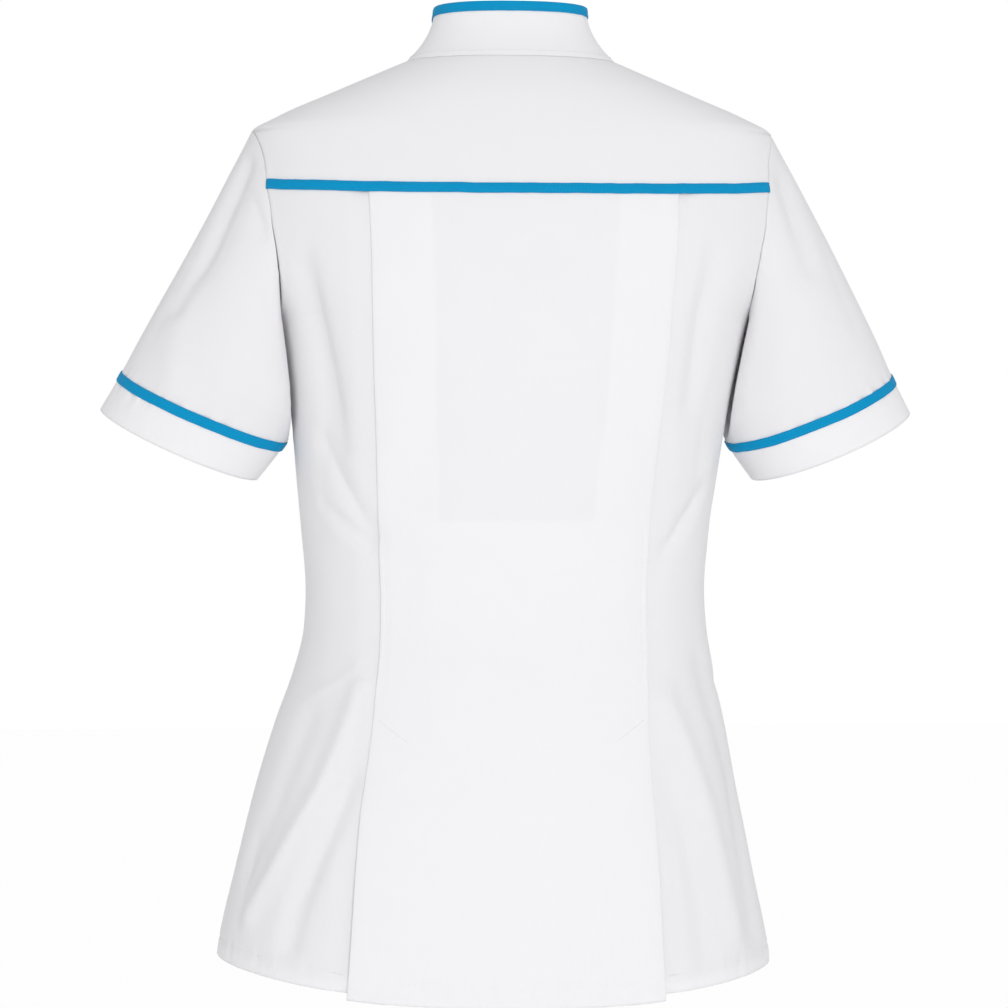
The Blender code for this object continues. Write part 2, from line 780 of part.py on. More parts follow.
def make_slider(frame):
    """Front plate, web between the tapes, rear plate, and the bridge that holds the pull."""
    half_length = SLIDER_LENGTH / 2
    half_width = SLIDER_WIDTH / 2
    plate_low = -(WALL + TAPE_GAP) + SEAM_GAP
    rear_high = -(WALL + TAPE_GAP + TAPE_WALL + SEAM_GAP)
    rear_half_width = half_width - REAR_PLATE_INSET
    web_half_length = half_length - REAR_PLATE_INSET
    foot_low = SLIDER_FACE - SLIDER_OVERLAP
    foot_high = BRIDGE_LOW + SLIDER_OVERLAP
    foot_inside = BRIDGE_HALF_LENGTH - BRIDGE_FOOT
    slider = block("zip_slider", frame, (-half_width, plate_low, -half_length),
                   (half_width, SLIDER_FACE, half_length), TUNIC)
    joined = {
        "web": ((-WEB_HALF_WIDTH, rear_high - SLIDER_OVERLAP, -web_half_length),
                (WEB_HALF_WIDTH, plate_low + SLIDER_OVERLAP, web_half_length)),
        "rear_plate": ((-rear_half_width, rear_high - REAR_PLATE_WALL, -half_length),
                       (rear_half_width, rear_high, half_length)),
        "bridge_foot_low": ((-BRIDGE_HALF_WIDTH, foot_low, -BRIDGE_HALF_LENGTH),
                            (BRIDGE_HALF_WIDTH, foot_high, -foot_inside)),
        "bridge_foot_high": ((-BRIDGE_HALF_WIDTH, foot_low, foot_inside),
                             (BRIDGE_HALF_WIDTH, foot_high, BRIDGE_HALF_LENGTH)),
        "bridge_bar": ((-BRIDGE_HALF_WIDTH, BRIDGE_LOW, -BRIDGE_HALF_LENGTH),
                       (BRIDGE_HALF_WIDTH, BRIDGE_TOP, BRIDGE_HALF_LENGTH)),
    }
    for name, (low, high) in joined.items():
        piece = block("slider_" + name, frame, low, high, CUTTERS)
        piece.hide_render = True
        piece.display_type = "WIRE"
        union = slider.modifiers.new(name, "BOOLEAN")
        union.operation = "UNION"
        union.object = piece


def make_pull(frame):
    """Flat pull tab with an eye, hanging from its crossbar inside the bridge."""
    half = PULL_WIDTH / 2
    neck = EYE_WIDTH / 2 + PULL_NECK_WALL
    top = CROSSBAR_WIDTH / 2
    eye_top = -CROSSBAR_WIDTH / 2
    eye_low = eye_top - EYE_LENGTH
    tip = half - PULL_TIP_INSET
    right_side = ((tip, -PULL_LENGTH), (half, -PULL_LENGTH + PULL_TIP_LENGTH), (half, -PULL_SHOULDER),
                  (neck, eye_low), (neck, top))
    outline = [(-x, y) for x, y in reversed(right_side)] + list(right_side)
    eye = ((-EYE_WIDTH / 2, eye_top), (-EYE_WIDTH / 2, eye_low), (EYE_WIDTH / 2, eye_low),
           (EYE_WIDTH / 2, eye_top))
    curve = bpy.data.curves.new("zip_pull", "CURVE")
    curve.dimensions = "2D"
    curve.fill_mode = "BOTH"
    curve.extrude = PULL_WALL / 2 * MM
    for corners in (outline, eye):
        spline = curve.splines.new("POLY")
        spline.points.add(len(corners) - 1)
        spline.use_cyclic_u = True
        for point, (x, y) in zip(spline.points, corners):
            point.co = (x * MM, y * MM, 0, 1)
    pull = place_object("zip_pull", curve, METAL, TUNIC)
    lie_flat = Matrix.Rotation(math.radians(90), 4, "X")
    pull.matrix_world = frame @ Matrix.Translation((0, PULL_OUT * MM, 0)) @ lie_flat


for leftover in list(bpy.data.objects):
    bpy.data.objects.remove(leftover, do_unlink=True)

TUNIC = bpy.data.collections.new("medical_tunic")
CUTTERS = bpy.data.collections.new("cutters")
bpy.context.scene.collection.children.link(TUNIC)
bpy.context.scene.collection.children.link(CUTTERS)

CLOTH = material("white_polycotton", CLOTH_COLOUR, 0.85)
TRIM = material("aqua_trim", TRIM_COLOUR, 0.7)
TAPE = material("zip_tape", TAPE_COLOUR, 0.8)
METAL = material("zip_metal", METAL_COLOUR, 0.35, 1.0)

make_yoke()
make_yoke_trim()
make_centre_back()
make_collar()
make_binding()
for side, name in ((-1, "left"), (1, "right")):
    wall("side_back_" + name, side_back_grid(side), CLOTH, side=side)
    wall("front_" + name, front_grid(side), CLOTH, side=side)
    make_sleeve(side, name)
    make_tape(side, name)
slider_frame = zip_frame()
make_slider(slider_frame)
make_pull(slider_frame)
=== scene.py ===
"""The medical tunic's finish: cloth, sewing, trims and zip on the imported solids, in a studio."""

import math

import bpy
import numpy as np
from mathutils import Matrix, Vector, noise


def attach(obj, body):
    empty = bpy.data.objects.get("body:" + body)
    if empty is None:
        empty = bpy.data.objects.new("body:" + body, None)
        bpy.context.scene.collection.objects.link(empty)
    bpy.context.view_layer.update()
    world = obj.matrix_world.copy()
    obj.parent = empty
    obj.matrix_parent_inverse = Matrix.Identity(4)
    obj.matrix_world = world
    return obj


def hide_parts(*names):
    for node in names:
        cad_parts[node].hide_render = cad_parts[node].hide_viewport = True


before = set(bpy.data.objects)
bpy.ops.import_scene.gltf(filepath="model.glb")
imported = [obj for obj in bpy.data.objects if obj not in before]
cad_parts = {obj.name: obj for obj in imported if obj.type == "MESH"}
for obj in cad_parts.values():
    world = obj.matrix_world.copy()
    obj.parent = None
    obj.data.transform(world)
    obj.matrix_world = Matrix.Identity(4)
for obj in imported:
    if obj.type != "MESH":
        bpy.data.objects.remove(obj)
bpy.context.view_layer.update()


# Back yoke
# One piece of white polycotton twill across the shoulders, from the neck and shoulder seams down
# to the aqua trim. It is cut on the straight grain and turned in at its seams. All sizes below
# are in millimetres; each mesh becomes metres as it is made.

def smooth_curve(rows, column):
    """A curve through one column of a table, over its first column, that never overshoots."""
    table = np.array(sorted(rows), float)
    places, values = table[:, 0], table[:, column]
    steps = np.diff(values) / np.diff(places)
    slopes = np.zeros(len(places))
    slopes[0], slopes[-1] = steps[0], steps[-1]
    before, after = steps[:-1], steps[1:]
    same_way = before * after > 0
    slopes[1:-1][same_way] = (2 * before * after / np.where(same_way, before + after, 1))[same_way]

    def curve(place):
        k = np.clip(np.searchsorted(places, place, side="right") - 1, 0, len(places) - 2)
        run = places[k + 1] - places[k]
        t = np.clip((place - places[k]) / run, 0, 1)
        return ((2 * t ** 3 - 3 * t ** 2 + 1) * values[k] + (t ** 3 - 2 * t ** 2 + t) * run * slopes[k]
                + (3 * t ** 2 - 2 * t ** 3) * values[k + 1] + (t ** 3 - t ** 2) * run * slopes[k + 1])
    return curve


def ease(t):
    t = np.clip(t, 0, 1)
    return t * t * (3 - 2 * t)


def mix(a, b, t):
    return a + (b - a) * t


body_levels = (
    (0, 79, 55, 50), (-6, 93, 60, 52), (-24, 135, 72, 58), (-42, 176.5, 80, 63), (-53, 195, 84, 66),
    (-75, 201, 92, 72), (-100, 206, 100, 83), (-122, 205, 105, 94), (-147, 198, 109, 106),
    (-170, 188, 112, 115), (-192, 177, 113, 120), (-228, 169, 111, 124), (-260, 163.5, 108, 122),
    (-312, 157, 102, 115), (-348, 152.5, 97, 109), (-394, 149, 93, 106), (-420, 150.4, 95, 108),
    (-456, 157.5, 103, 113), (-492, 167.6, 111, 119), (-546, 180.8, 121, 127), (-600, 193, 128, 133),
    (-654, 205, 132, 137), (-700, 211, 135, 140))
body_half_width = smooth_curve(body_levels, 1)
back_depth = smooth_curve(body_levels, 2)
front_depth = smooth_curve(body_levels, 3)
squareness = 2.3
hang_shift = smooth_curve(((45, 4), (0, 4), (-53, 5.5), (-122, 6.5), (-192, 5), (-260, 3), (-312, 1),
                           (-348, 0), (-420, 0), (-492, -4), (-560, -7), (-700, -9)), 1)


def as_it_hangs(points):
    """The tunic hangs a little askew: shifted sideways, and lower towards the right hem."""
    tilt = 3.0 * points[..., 0] / 200 * ease((-420 - points[..., 2]) / 200)
    hung = points.copy()
    hung[..., 0] += hang_shift(points[..., 2])
    hung[..., 2] -= tilt
    return hung


def body_section(angle, height):
    """Points of the plain body: angle 0 is centre back, 90 the right side, 180 centre front."""
    angle, height = np.broadcast_arrays(np.asarray(angle, float), np.asarray(height, float))
    sine, cosine = np.sin(np.radians(angle)), np.cos(np.radians(angle))
    depth = np.where(cosine > 0, back_depth(height), front_depth(height))
    x = np.sign(sine) * body_half_width(height) * np.abs(sine) ** (2 / squareness)
    y = -np.sign(cosine) * depth * np.abs(cosine) ** (2 / squareness)
    return np.stack([x, y, height], axis=-1)


def unit(vectors):
    return vectors / np.maximum(np.linalg.norm(vectors, axis=-1, keepdims=True), 1e-9)


def body_outward(angle, height):
    angle, height = np.asarray(angle, float), np.asarray(height, float)
    across = body_section(angle + 0.5, height) - body_section(angle - 0.5, height)
    up = body_section(angle, np.minimum(height + 1, 0)) - body_section(angle, height - 1)
    return unit(np.cross(across, up))


def angle_at(x, height, face):
    """Angle at which the body's section lies this far from its middle."""
    share = np.minimum(1.0, np.abs(x) / body_half_width(height))
    turn = np.degrees(np.arcsin(share ** (squareness / 2)))
    return np.copysign(turn if face == "back" else 180 - turn, x)


def moved_angle(angle, height, length):
    """Angle reached after this length round the body."""
    step = body_section(angle + 0.5, height) - body_section(angle - 0.5, height)
    return angle + length / np.linalg.norm(step, axis=-1)


# Main folds, which the solids have too: path of (x, height), lift out of the cloth, spread
main_folds = {
    "back": (
        (((-159, -158), (-153, -190), (-143, -230), (-131, -286)), -3.0, 11),
        (((140, -154), (131, -204), (126, -256)), -2.8, 12),
        (((-142, -284), (-121, -320), (-104, -352)), -2.6, 8),
        (((-138, -330), (-106, -359)), -1.8, 6),
        (((-146, -316), (-128, -350)), 1.0, 9),
        (((142, -318), (112, -364)), -2.8, 7),
        (((147, -300), (134, -350)), 1.2, 9),
        (((-110, -462), (-122, -500), (-134, -533), (-165, -594), (-184, -632)), 4.0, 9),
        (((-116, -530), (-124, -556), (-138, -588), (-150, -618), (-156, -650)), -4.0, 9),
        (((-146, -490), (-168, -556), (-186, -600)), -3.0, 12),
        (((112, -472), (130, -506), (150, -555), (170, -640)), 3.4, 11),
        (((142, -450), (170, -530), (188, -640)), -3.2, 14),
        (((118, -530), (134, -585), (146, -655)), -3.0, 10),
        (((8, -182), (40, -262), (60, -322)), 2.0, 26),
        (((-62, -262), (-76, -330)), -2.0, 20)),
    "front": (
        (((-132, -222), (-60, -236)), -2.5, 12),
        (((134, -216), (64, -234)), -2.5, 12),
        (((-138, -300), (-112, -372)), -4.0, 12),
        (((136, -312), (106, -376)), -4.0, 11),
        (((-96, -440), (-128, -540), (-138, -650)), 5.0, 18),
        (((-60, -470), (-84, -560), (-88, -650)), -5.0, 15),
        (((92, -450), (118, -552), (134, -650)), 5.0, 18),
        (((56, -480), (74, -570), (82, -650)), -4.5, 15))}

# Creases that only the cloth has: path, lift, spread on the path's left, on its right
fine_creases = {
    "back": (
        (((-141, -286), (-129, -308), (-116, -330), (-102, -354)), -1.3, 2.2, 5.0),
        (((-136, -332), (-120, -345), (-104, -361)), -0.9, 2.0, 4.5),
        (((140, -320), (127, -341), (110, -368)), -1.2, 4.5, 2.2),
        (((-100, -436), (-124, -458), (-150, -474)), 1.3, 4.0, 5.5),
        (((-103, -450), (-120, -498), (-133, -533), (-158, -582), (-178, -620)), 1.2, 5.0, 4.0),
        (((-108, -506), (-119, -544), (-134, -584), (-144, -614), (-150, -645)), -1.8, 7.0, 7.0),
        (((-110, -600), (-118, -640), (-122, -664)), -0.8, 5.0, 5.0),
        (((-176, -560), (-186, -600), (-194, -650)), -1.2, 6.0, 6.0),
        (((106, -462), (128, -502), (146, -548), (160, -600)), 0.6, 6.0, 6.0),
        (((140, -440), (158, -462), (166, -486)), -1.2, 6.0, 7.0),
        (((112, -540), (122, -590), (126, -640)), -0.9, 7.0, 4.0),
        (((-152, -200), (-142, -262), (-140, -330)), -1.2, 6.0, 9.0),
        (((150, -210), (138, -280), (136, -340)), -1.0, 9.0, 6.0),
        (((-156, -150), (-150, -186), (-140, -228), (-127, -290)), -4.2, 9.0, 24.0),
        (((139, -150), (131, -200), (126, -262)), -1.8, 11.0, 7.0),
        (((26, -150), (48, -210), (62, -290), (66, -330)), 0.8, 9.0, 14.0),
        (((-70, -400), (-30, -412), (20, -408)), -0.8, 7.0, 12.0),
        (((-88, -372), (-60, -382), (-40, -380)), -0.7, 5.0, 8.0),
        (((84, -366), (58, -380), (36, -382)), -0.7, 8.0, 5.0)),
    "front": (
        (((-120, -204), (-92, -214), (-66, -226)), -1.2, 4.0, 7.0),
        (((120, -202), (96, -212), (66, -224)), -1.2, 7.0, 4.0),
        (((-128, -330), (-104, -352), (-84, -366)), -1.6, 3.0, 6.0),
        (((126, -336), (104, -356), (82, -368)), -1.6, 6.0, 3.0),
        (((-40, -380), (-16, -386), (-6, -384)), -1.0, 5.0, 8.0),
        (((46, -376), (20, -386), (6, -386)), -1.0, 8.0, 5.0),
        (((-30, -420), (-22, -470), (-20, -520)), -1.0, 6.0, 10.0),
        (((26, -424), (24, -480), (18, -540)), 1.0, 9.0, 7.0))}




def distance_to_path(points, path):
    """For each point: distance from a chain of straight runs, the way there, the run, place along."""
    starts, runs = path[:-1], np.diff(path, axis=0)
    lengths = np.linalg.norm(runs, axis=1)
    offset = points[:, None, :] - starts[None]
    t = np.clip((offset * runs).sum(-1) / lengths ** 2, 0, 1)
    away = offset - t[..., None] * runs
    gaps = np.linalg.norm(away, axis=-1)
    nearest = gaps.argmin(axis=1)
    rows = np.arange(len(points))
    along = np.concatenate([[0], np.cumsum(lengths)])[nearest] + t[rows, nearest] * lengths[nearest]
    directions = runs / lengths[:, None]
    return gaps[rows, nearest], away[rows, nearest], directions[nearest], along / lengths.sum()


def body_path(face, path):
    x, height = np.array(path, float).T
    return body_section(angle_at(x, height, face), height)


def curved(path, steps=6):
    """A path rounded at its corners."""
    path = np.array(path, float)
    ends = np.concatenate([[2 * path[0] - path[1]], path, [2 * path[-1] - path[-2]]])
    t = np.linspace(0, 1, steps, endpoint=False)[:, None]
    runs = [0.5 * (2 * b + (c - a) * t + (2 * a - 5 * b + 4 * c - d) * t ** 2
                   + (3 * b - a - 3 * c + d) * t ** 3)
            for a, b, c, d in zip(ends, ends[1:], ends[2:], ends[3:])]
    return np.concatenate(runs + [path[-1:]])


def fold_lift(points, outward, folds, creases):
    """How far folds and creases move the cloth out at each point."""
    flat, directions = points.reshape(-1, 3), outward.reshape(-1, 3)
    lift = np.zeros(len(flat))
    for path, height, spread in folds:
        near = np.where(((flat > path.min(0) - 4 * spread) & (flat < path.max(0) + 4 * spread)).all(1))[0]
        if len(near):
            lift[near] += height * np.exp(-(distance_to_path(flat[near], path)[0] / spread) ** 2)
    for path, height, left, right in creases:
        reach = 3.5 * max(left, right)
        near = np.where(((flat > path.min(0) - reach) & (flat < path.max(0) + reach)).all(1))[0]
        if len(near):
            gap, away, run, along = distance_to_path(flat[near], path)
            leftward = (np.cross(directions[near], run) * away).sum(1) / np.maximum(gap, 1e-6)
            spread = mix(right, left, 0.5 + 0.5 * leftward)
            fade = ease(along / 0.3) * ease((1 - along) / 0.3)
            lift[near] += height * np.exp(-(gap / spread) ** 1.6) * (0.25 + 0.75 * fade)
    return lift.reshape(points.shape[:-1])


body_fold_paths = [(body_path(face, path), lift, spread)
                   for face, folds in main_folds.items() for path, lift, spread in folds]
body_creases = [(body_path(face, curved(path)), lift, left, right)
                for face, creases in fine_creases.items() for path, lift, left, right in creases]


def unevenness(points):
    """Slight hand-made waviness of hanging cloth, mostly along its length."""
    flat = points.reshape(-1, 3)
    broad = [noise.noise((x / 70, y / 70, z / 190)) for x, y, z in flat]
    narrow = [noise.noise((x / 24 + 9, y / 24, z / 85)) for x, y, z in flat]
    return (0.9 * np.array(broad) + 0.35 * np.array(narrow)).reshape(points.shape[:-1])


def body_cloth(angle, height, out=0.0):
    """Points of the folded body, moved out by some distance."""
    angle, height = np.broadcast_arrays(np.asarray(angle, float), np.asarray(height, float))
    points, outward = body_section(angle, height), body_outward(angle, height)
    lift = fold_lift(points, outward, body_fold_paths, body_creases)
    settled = ease((-20 - height) / 40)
    return points + outward * (lift + unevenness(points) * settled + out)[..., None]


def evenly_round(start, end, height, count):
    """Angles that share out the body's girth between two angles, one row for each height."""
    rows = []
    for first, last, level in zip(*np.broadcast_arrays(start, end, height)):
        fine = np.linspace(first, last, 161)
        steps = np.linalg.norm(np.diff(body_section(fine, level), axis=0), axis=1)
        lengths = np.concatenate([[0], np.cumsum(steps)])
        rows.append(np.interp(np.linspace(0, lengths[-1], count), lengths, fine))
    return np.array(rows)


def evenly_up(low, high, spacing, angle):
    """Heights at equal lengths of cloth up the body at one angle."""
    fine = np.linspace(low, high, 400)
    steps = np.linalg.norm(np.diff(body_section(angle, fine), axis=0), axis=1)
    lengths = np.concatenate([[0], np.cumsum(steps)])
    return np.interp(np.linspace(0, lengths[-1], max(2, round(lengths[-1] / spacing))), lengths, fine)


def feed(tree, node, inputs):
    """Sets a shader node's inputs: links for sockets of other nodes, plain values for the rest."""
    for place, value in inputs.items():
        if isinstance(value, bpy.types.NodeSocket):
            tree.links.new(value, node.inputs[place])
        else:
            node.inputs[place].default_value = value


def shader_node(tree, kind, inputs, **settings):
    node = tree.nodes.new("ShaderNode" + kind)
    for name, value in settings.items():
        setattr(node, name, value)
    feed(tree, node, inputs)
    return node


def new_material(name):
    made = bpy.data.materials.new(name)
    made.use_nodes = True
    return made, made.node_tree, made.node_tree.nodes["Principled BSDF"]


def twill_group():
    """Fine diagonal ribs, slubs and faint cloudiness of woven cloth, laid along its UV map in metres."""
    group = bpy.data.node_groups.new("twill_weave", "ShaderNodeTree")
    for name, way in (("Ribs per Metre", "INPUT"), ("Height", "OUTPUT"), ("Shade", "OUTPUT")):
        group.interface.new_socket(name, in_out=way, socket_type="NodeSocketFloat")
    given, result = group.nodes.new("NodeGroupInput"), group.nodes.new("NodeGroupOutput")
    laid = shader_node(group, "UVMap", {}, uv_map="cloth").outputs["UV"]
    scaled = shader_node(group, "VectorMath", {0: laid, "Scale": given.outputs["Ribs per Metre"]},
                         operation="SCALE")
    ribs = shader_node(group, "TexWave", {"Vector": scaled.outputs["Vector"], "Scale": 0.2, "Distortion": 0.6,
                                          "Detail": 1.0}, bands_direction="DIAGONAL")
    slubs = shader_node(group, "TexNoise", {"Vector": laid, "Scale": 260, "Detail": 3})
    clouds = shader_node(group, "TexNoise", {"Vector": laid, "Scale": 22, "Detail": 2})
    height = shader_node(group, "Mix", {"Factor": 0.35, "A": ribs.outputs["Fac"], "B": slubs.outputs["Fac"]})
    shade = shader_node(group, "Mix", {"Factor": 0.6, "A": height.outputs["Result"],
                                       "B": clouds.outputs["Fac"]})
    feed(group, result, {"Height": height.outputs["Result"], "Shade": shade.outputs["Result"]})
    return group


twill = twill_group()


def cloth_material(name, light, dark, thin, ribs, roughness, sheen, bump=0.25, shine=0.4):
    """Woven cloth: light and dark threads, and painted shade, the third colour multiplied in where a single
    layer lets less light back.
    """
    made, tree, shader = new_material(name)
    weave = shader_node(tree, "Group", {"Ribs per Metre": ribs}, node_tree=twill)
    shade = weave.outputs["Shade"]
    threads = shader_node(tree, "Mix", {"A": (*dark, 1), "B": (*light, 1), "Factor": shade}, data_type="RGBA")
    # Painted shade: where backing is below 1, the colour is darkened towards the third colour for the shaded
    # inside seen through one layer of cloth; the backing mask itself is the real count of layers.
    backing = shader_node(tree, "Attribute", {}, attribute_name="backing")
    single = shader_node(tree, "Math", {0: 1, 1: backing.outputs["Fac"]}, operation="SUBTRACT")
    layers = shader_node(tree, "Mix", {"A": threads.outputs["Result"], "B": (*thin, 1),
                                       "Factor": single.outputs["Value"]},
                         data_type="RGBA", blend_type="MULTIPLY")
    rough = shader_node(tree, "MapRange", {"Value": shade, "To Min": roughness - 0.05,
                                           "To Max": roughness + 0.05})
    relief = shader_node(tree, "Bump", {"Height": weave.outputs["Height"], "Strength": bump,
                                        "Distance": 0.0001})
    feed(tree, shader, {"Base Color": layers.outputs["Result"], "Roughness": rough.outputs["Result"],
                        "Normal": relief.outputs["Normal"], "Specular IOR Level": shine,
                        "Sheen Weight": sheen, "Sheen Roughness": 0.5})
    return made


# The third colour is painted shade, multiplied in on single-layer cloth, which covers most of the side
# panels, fronts and sleeves.
polycotton = cloth_material("white_polycotton", (0.872, 0.868, 0.886), (0.848, 0.844, 0.862),
                            (0.957, 0.955, 0.957), 2200, 0.88, 0.06)


def new_piece(name, points, faces, finish):
    """A piece on the tunic, of points in millimetres."""
    mesh = bpy.data.meshes.new(name)
    mesh.from_pydata((np.array(points) * 0.001).tolist(), [], faces)
    mesh.materials.append(finish)
    piece = bpy.data.objects.new(name, mesh)
    bpy.context.scene.collection.objects.link(piece)
    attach(piece, "tunic")
    return piece


def cloth_piece(name, grid, finish, thickness=0.45, side=1, ring=False, backing=None):
    """A thin shell over rows of points that run rightwards and upwards, seen from outside."""
    rows, columns = grid.shape[:2]
    index = np.arange(rows * columns).reshape(rows, columns)
    places = np.arange(columns + 1 if ring else columns)
    wrapped = index[:, places % columns]
    corners = np.stack([wrapped[:-1, :-1], wrapped[:-1, 1:], wrapped[1:, 1:], wrapped[1:, :-1]], axis=-1)
    step = np.linalg.norm(np.diff(grid, axis=1), axis=-1).mean() * 0.001
    rise = np.linalg.norm(np.diff(grid, axis=0), axis=-1).mean(axis=1) * 0.001
    u, v = np.meshgrid(places * step, np.concatenate([[0], np.cumsum(rise)]))
    laid = np.stack([u, v], axis=-1)
    laid = np.stack([laid[:-1, :-1], laid[:-1, 1:], laid[1:, 1:], laid[1:, :-1]], axis=-2)
    if side < 0:
        corners, laid = corners[..., ::-1], laid[..., ::-1, :]
    piece = new_piece(name, as_it_hangs(grid).reshape(-1, 3), corners.reshape(-1, 4).tolist(), finish)
    piece.data.uv_layers.new(name="cloth").data.foreach_set("uv", laid.reshape(-1).astype(np.float32))
    # The backing attribute drives the painted shade: 0 where the cloth is one layer and fully shaded, 1 where
    # it lies doubled and unshaded; pieces given none are painted as single layer throughout.
    layers = piece.data.attributes.new("backing", "FLOAT", "POINT")
    layers.data.foreach_set("value", (np.zeros(rows * columns) if backing is None
                                      else backing.reshape(-1)).astype(np.float32))
    piece.data.shade_smooth()
    shell = piece.modifiers.new("cloth thickness", "SOLIDIFY")
    shell.thickness = thickness * 0.001
    shell.offset = -1
    return piece


def seam_dip(distance, depth=0.7, reach=1.8):
    """How far cloth rolls inwards at a seam, by its distance from the seam."""
    return depth * np.exp(-(np.abs(distance) / reach) ** 1.5)


def armhole_ridge(distance):
    """Depth beside an armhole seam: a shallow roll, then a low ridge over the allowances below."""
    return seam_dip(distance, 0.28, 0.9) - 0.35 * np.exp(-((distance - 3.2) / 1.9) ** 2)


def puckers(along, away, reach, size, seed):
    """Small uneven ripples that the stitches draw up beside a row of sewing."""
    ripples = [noise.noise((place / 7.5, seed, 0)) + 0.6 * noise.noise((place / 3.6, seed + 5, 0))
               for place in along.reshape(-1)]
    return size * np.array(ripples).reshape(along.shape) * np.exp(-(away / reach) ** 2)


def row_lengths(points):
    """Length of cloth along each row, from its first point."""
    steps = np.linalg.norm(np.diff(points, axis=1), axis=-1)
    return np.concatenate([np.zeros((len(points), 1)), np.cumsum(steps, axis=1)], axis=1)


def thread_material(name, light, dark):
    """Twisted polyester thread: faint colour changes along each stitch and a slight gloss."""
    made, tree, shader = new_material(name)
    place = shader_node(tree, "TexCoord", {})
    twist = shader_node(tree, "TexNoise", {"Vector": place.outputs["Object"], "Scale": 900}).outputs["Fac"]
    tone = shader_node(tree, "Mix", {"A": (*dark, 1), "B": (*light, 1), "Factor": twist}, data_type="RGBA")
    relief = shader_node(tree, "Bump", {"Height": twist, "Strength": 0.4, "Distance": 0.0001})
    feed(tree, shader, {"Base Color": tone.outputs["Result"], "Normal": relief.outputs["Normal"],
                        "Roughness": 0.5})
    return made


thread = thread_material("white_thread", (0.90, 0.91, 0.93), (0.80, 0.81, 0.83))


def sewing(name, lines, finish, pitch=2.7, thick=0.42):
    """Rows of stitches. Each line is its points on the cloth and the same points moved out by 1 mm."""
    points, faces = [], []
    for on_cloth, above in lines:
        on_cloth, above = as_it_hangs(on_cloth), as_it_hangs(above)
        lengths = np.concatenate([[0], np.cumsum(np.linalg.norm(np.diff(on_cloth, axis=0), axis=1))])
        middles = np.arange(pitch / 2, lengths[-1] - pitch / 2, pitch)
        for middle in middles:
            ends = middle + np.array([-0.42, -0.26, 0.26, 0.42]) * pitch
            centre = np.stack([np.interp(ends, lengths, on_cloth[:, k]) for k in range(3)], axis=1)
            outer = np.stack([np.interp(ends, lengths, above[:, k]) for k in range(3)], axis=1)
            out = unit(outer - centre)
            across = unit(np.cross(centre[-1] - centre[0], out[0]))
            start = len(points)
            points.append(centre[0] - out[0] * 0.15)
            for k in (1, 2):
                for side, lift in ((-1, 0.0), (0, 1.0), (1, 0.0), (0, -0.6)):
                    points.append(centre[k] + (across * side * thick + out[k] * lift * thick) / 2)
            points.append(centre[3] - out[3] * 0.15)
            for k in range(4):
                after = (k + 1) % 4
                faces.append((start + 1 + k, start + 1 + after, start))
                faces.append((start + 1 + after, start + 1 + k, start + 5 + k, start + 5 + after))
                faces.append((start + 5 + after, start + 5 + k, start + 9))
    rows = new_piece(name, points, faces, finish)
    rows.data.shade_smooth()
    return rows


def body_line(angle, height, out=0.0):
    """A line of sewing on the body, for sewing()."""
    return body_cloth(angle, height, out), body_cloth(angle, height, out + 1)


def yoke_seam(angle):
    return -102 + 6 * np.minimum(1.0, (np.abs(angle) / 62) ** 2)


def armhole_place(turn):
    """Body angle and height on the right armhole; turn 0 is its shoulder tip, 90 back, 180 underarm."""
    sine, cosine = np.sin(np.radians(turn)), np.cos(np.radians(turn))
    reach = np.where(sine > 0, 29, 27)
    return 90 - np.sign(sine) * reach * np.abs(sine) ** 0.8, -122.5 + 69.5 * cosine


def armhole_angle(height, face):
    """Body angle of the armhole's seam at a height, or 90 above and below it."""
    cosine = np.clip((np.asarray(height, float) + 122.5) / 69.5, -1, 1)
    turn = np.degrees(np.arccos(cosine))
    return armhole_place(turn if face == "back" else -turn)[0]


def side_edge(height, face):
    """Body angle at which a panel ends at the side seam, the armhole or the shoulder seam."""
    inset = np.where((height > -192) & (height < -52.5), 0.1, 0.15)
    return moved_angle(armhole_angle(height, face), height, -inset if face == "back" else inset)


def with_seam_turned(angle, depth, levels, first=3, last=3, width=7.0):
    """Adds columns at a panel's ends, none or three, that turn in at its seam and lie back below it."""
    angle, depth = [np.pad(grid, ((0, 0), (first, last)), "edge") for grid in (angle, depth)]
    inwards = np.sign(angle[:, -1] - angle[:, 0])
    for column, (share, below) in enumerate(((1, 1.2), (0.4, 1.1), (0, 0.9))):
        if first:
            angle[:, column] = moved_angle(angle[:, column], levels, inwards * width * share)
            depth[:, column] += below
        if last:
            angle[:, -1 - column] = moved_angle(angle[:, -1 - column], levels, -inwards * width * share)
            depth[:, -1 - column] += below
    return angle, depth


yoke_low, shoulder_level = -96, -53
yoke_levels = np.concatenate([np.linspace(yoke_low, shoulder_level, 17)[:-1],
                              evenly_up(shoulder_level, -0.1, 3.0, 62)])
yoke_end = side_edge(yoke_levels, "back")
yoke_angle = evenly_round(-yoke_end, yoke_end, yoke_levels, 150)
yoke_dip = ease((shoulder_level - yoke_levels) / 43)[:, None] * (yoke_seam(yoke_angle) + 0.15 - yoke_low)
yoke_height = yoke_levels[:, None] + yoke_dip
yoke_round = row_lengths(body_section(yoke_angle, yoke_height))
yoke_depth = armhole_ridge(yoke_round) + armhole_ridge(yoke_round[:, -1:] - yoke_round)
yoke_depth += seam_dip(yoke_height - yoke_seam(yoke_angle)) + seam_dip(yoke_height, 0.1, 0.8)
yoke_depth -= puckers(yoke_round, yoke_height - yoke_seam(yoke_angle) - 4, 8, 0.35, 1.0)
yoke_angle, yoke_depth = with_seam_turned(yoke_angle, yoke_depth, yoke_levels)
yoke_height = np.pad(yoke_height, ((0, 0), (3, 3)), "edge")
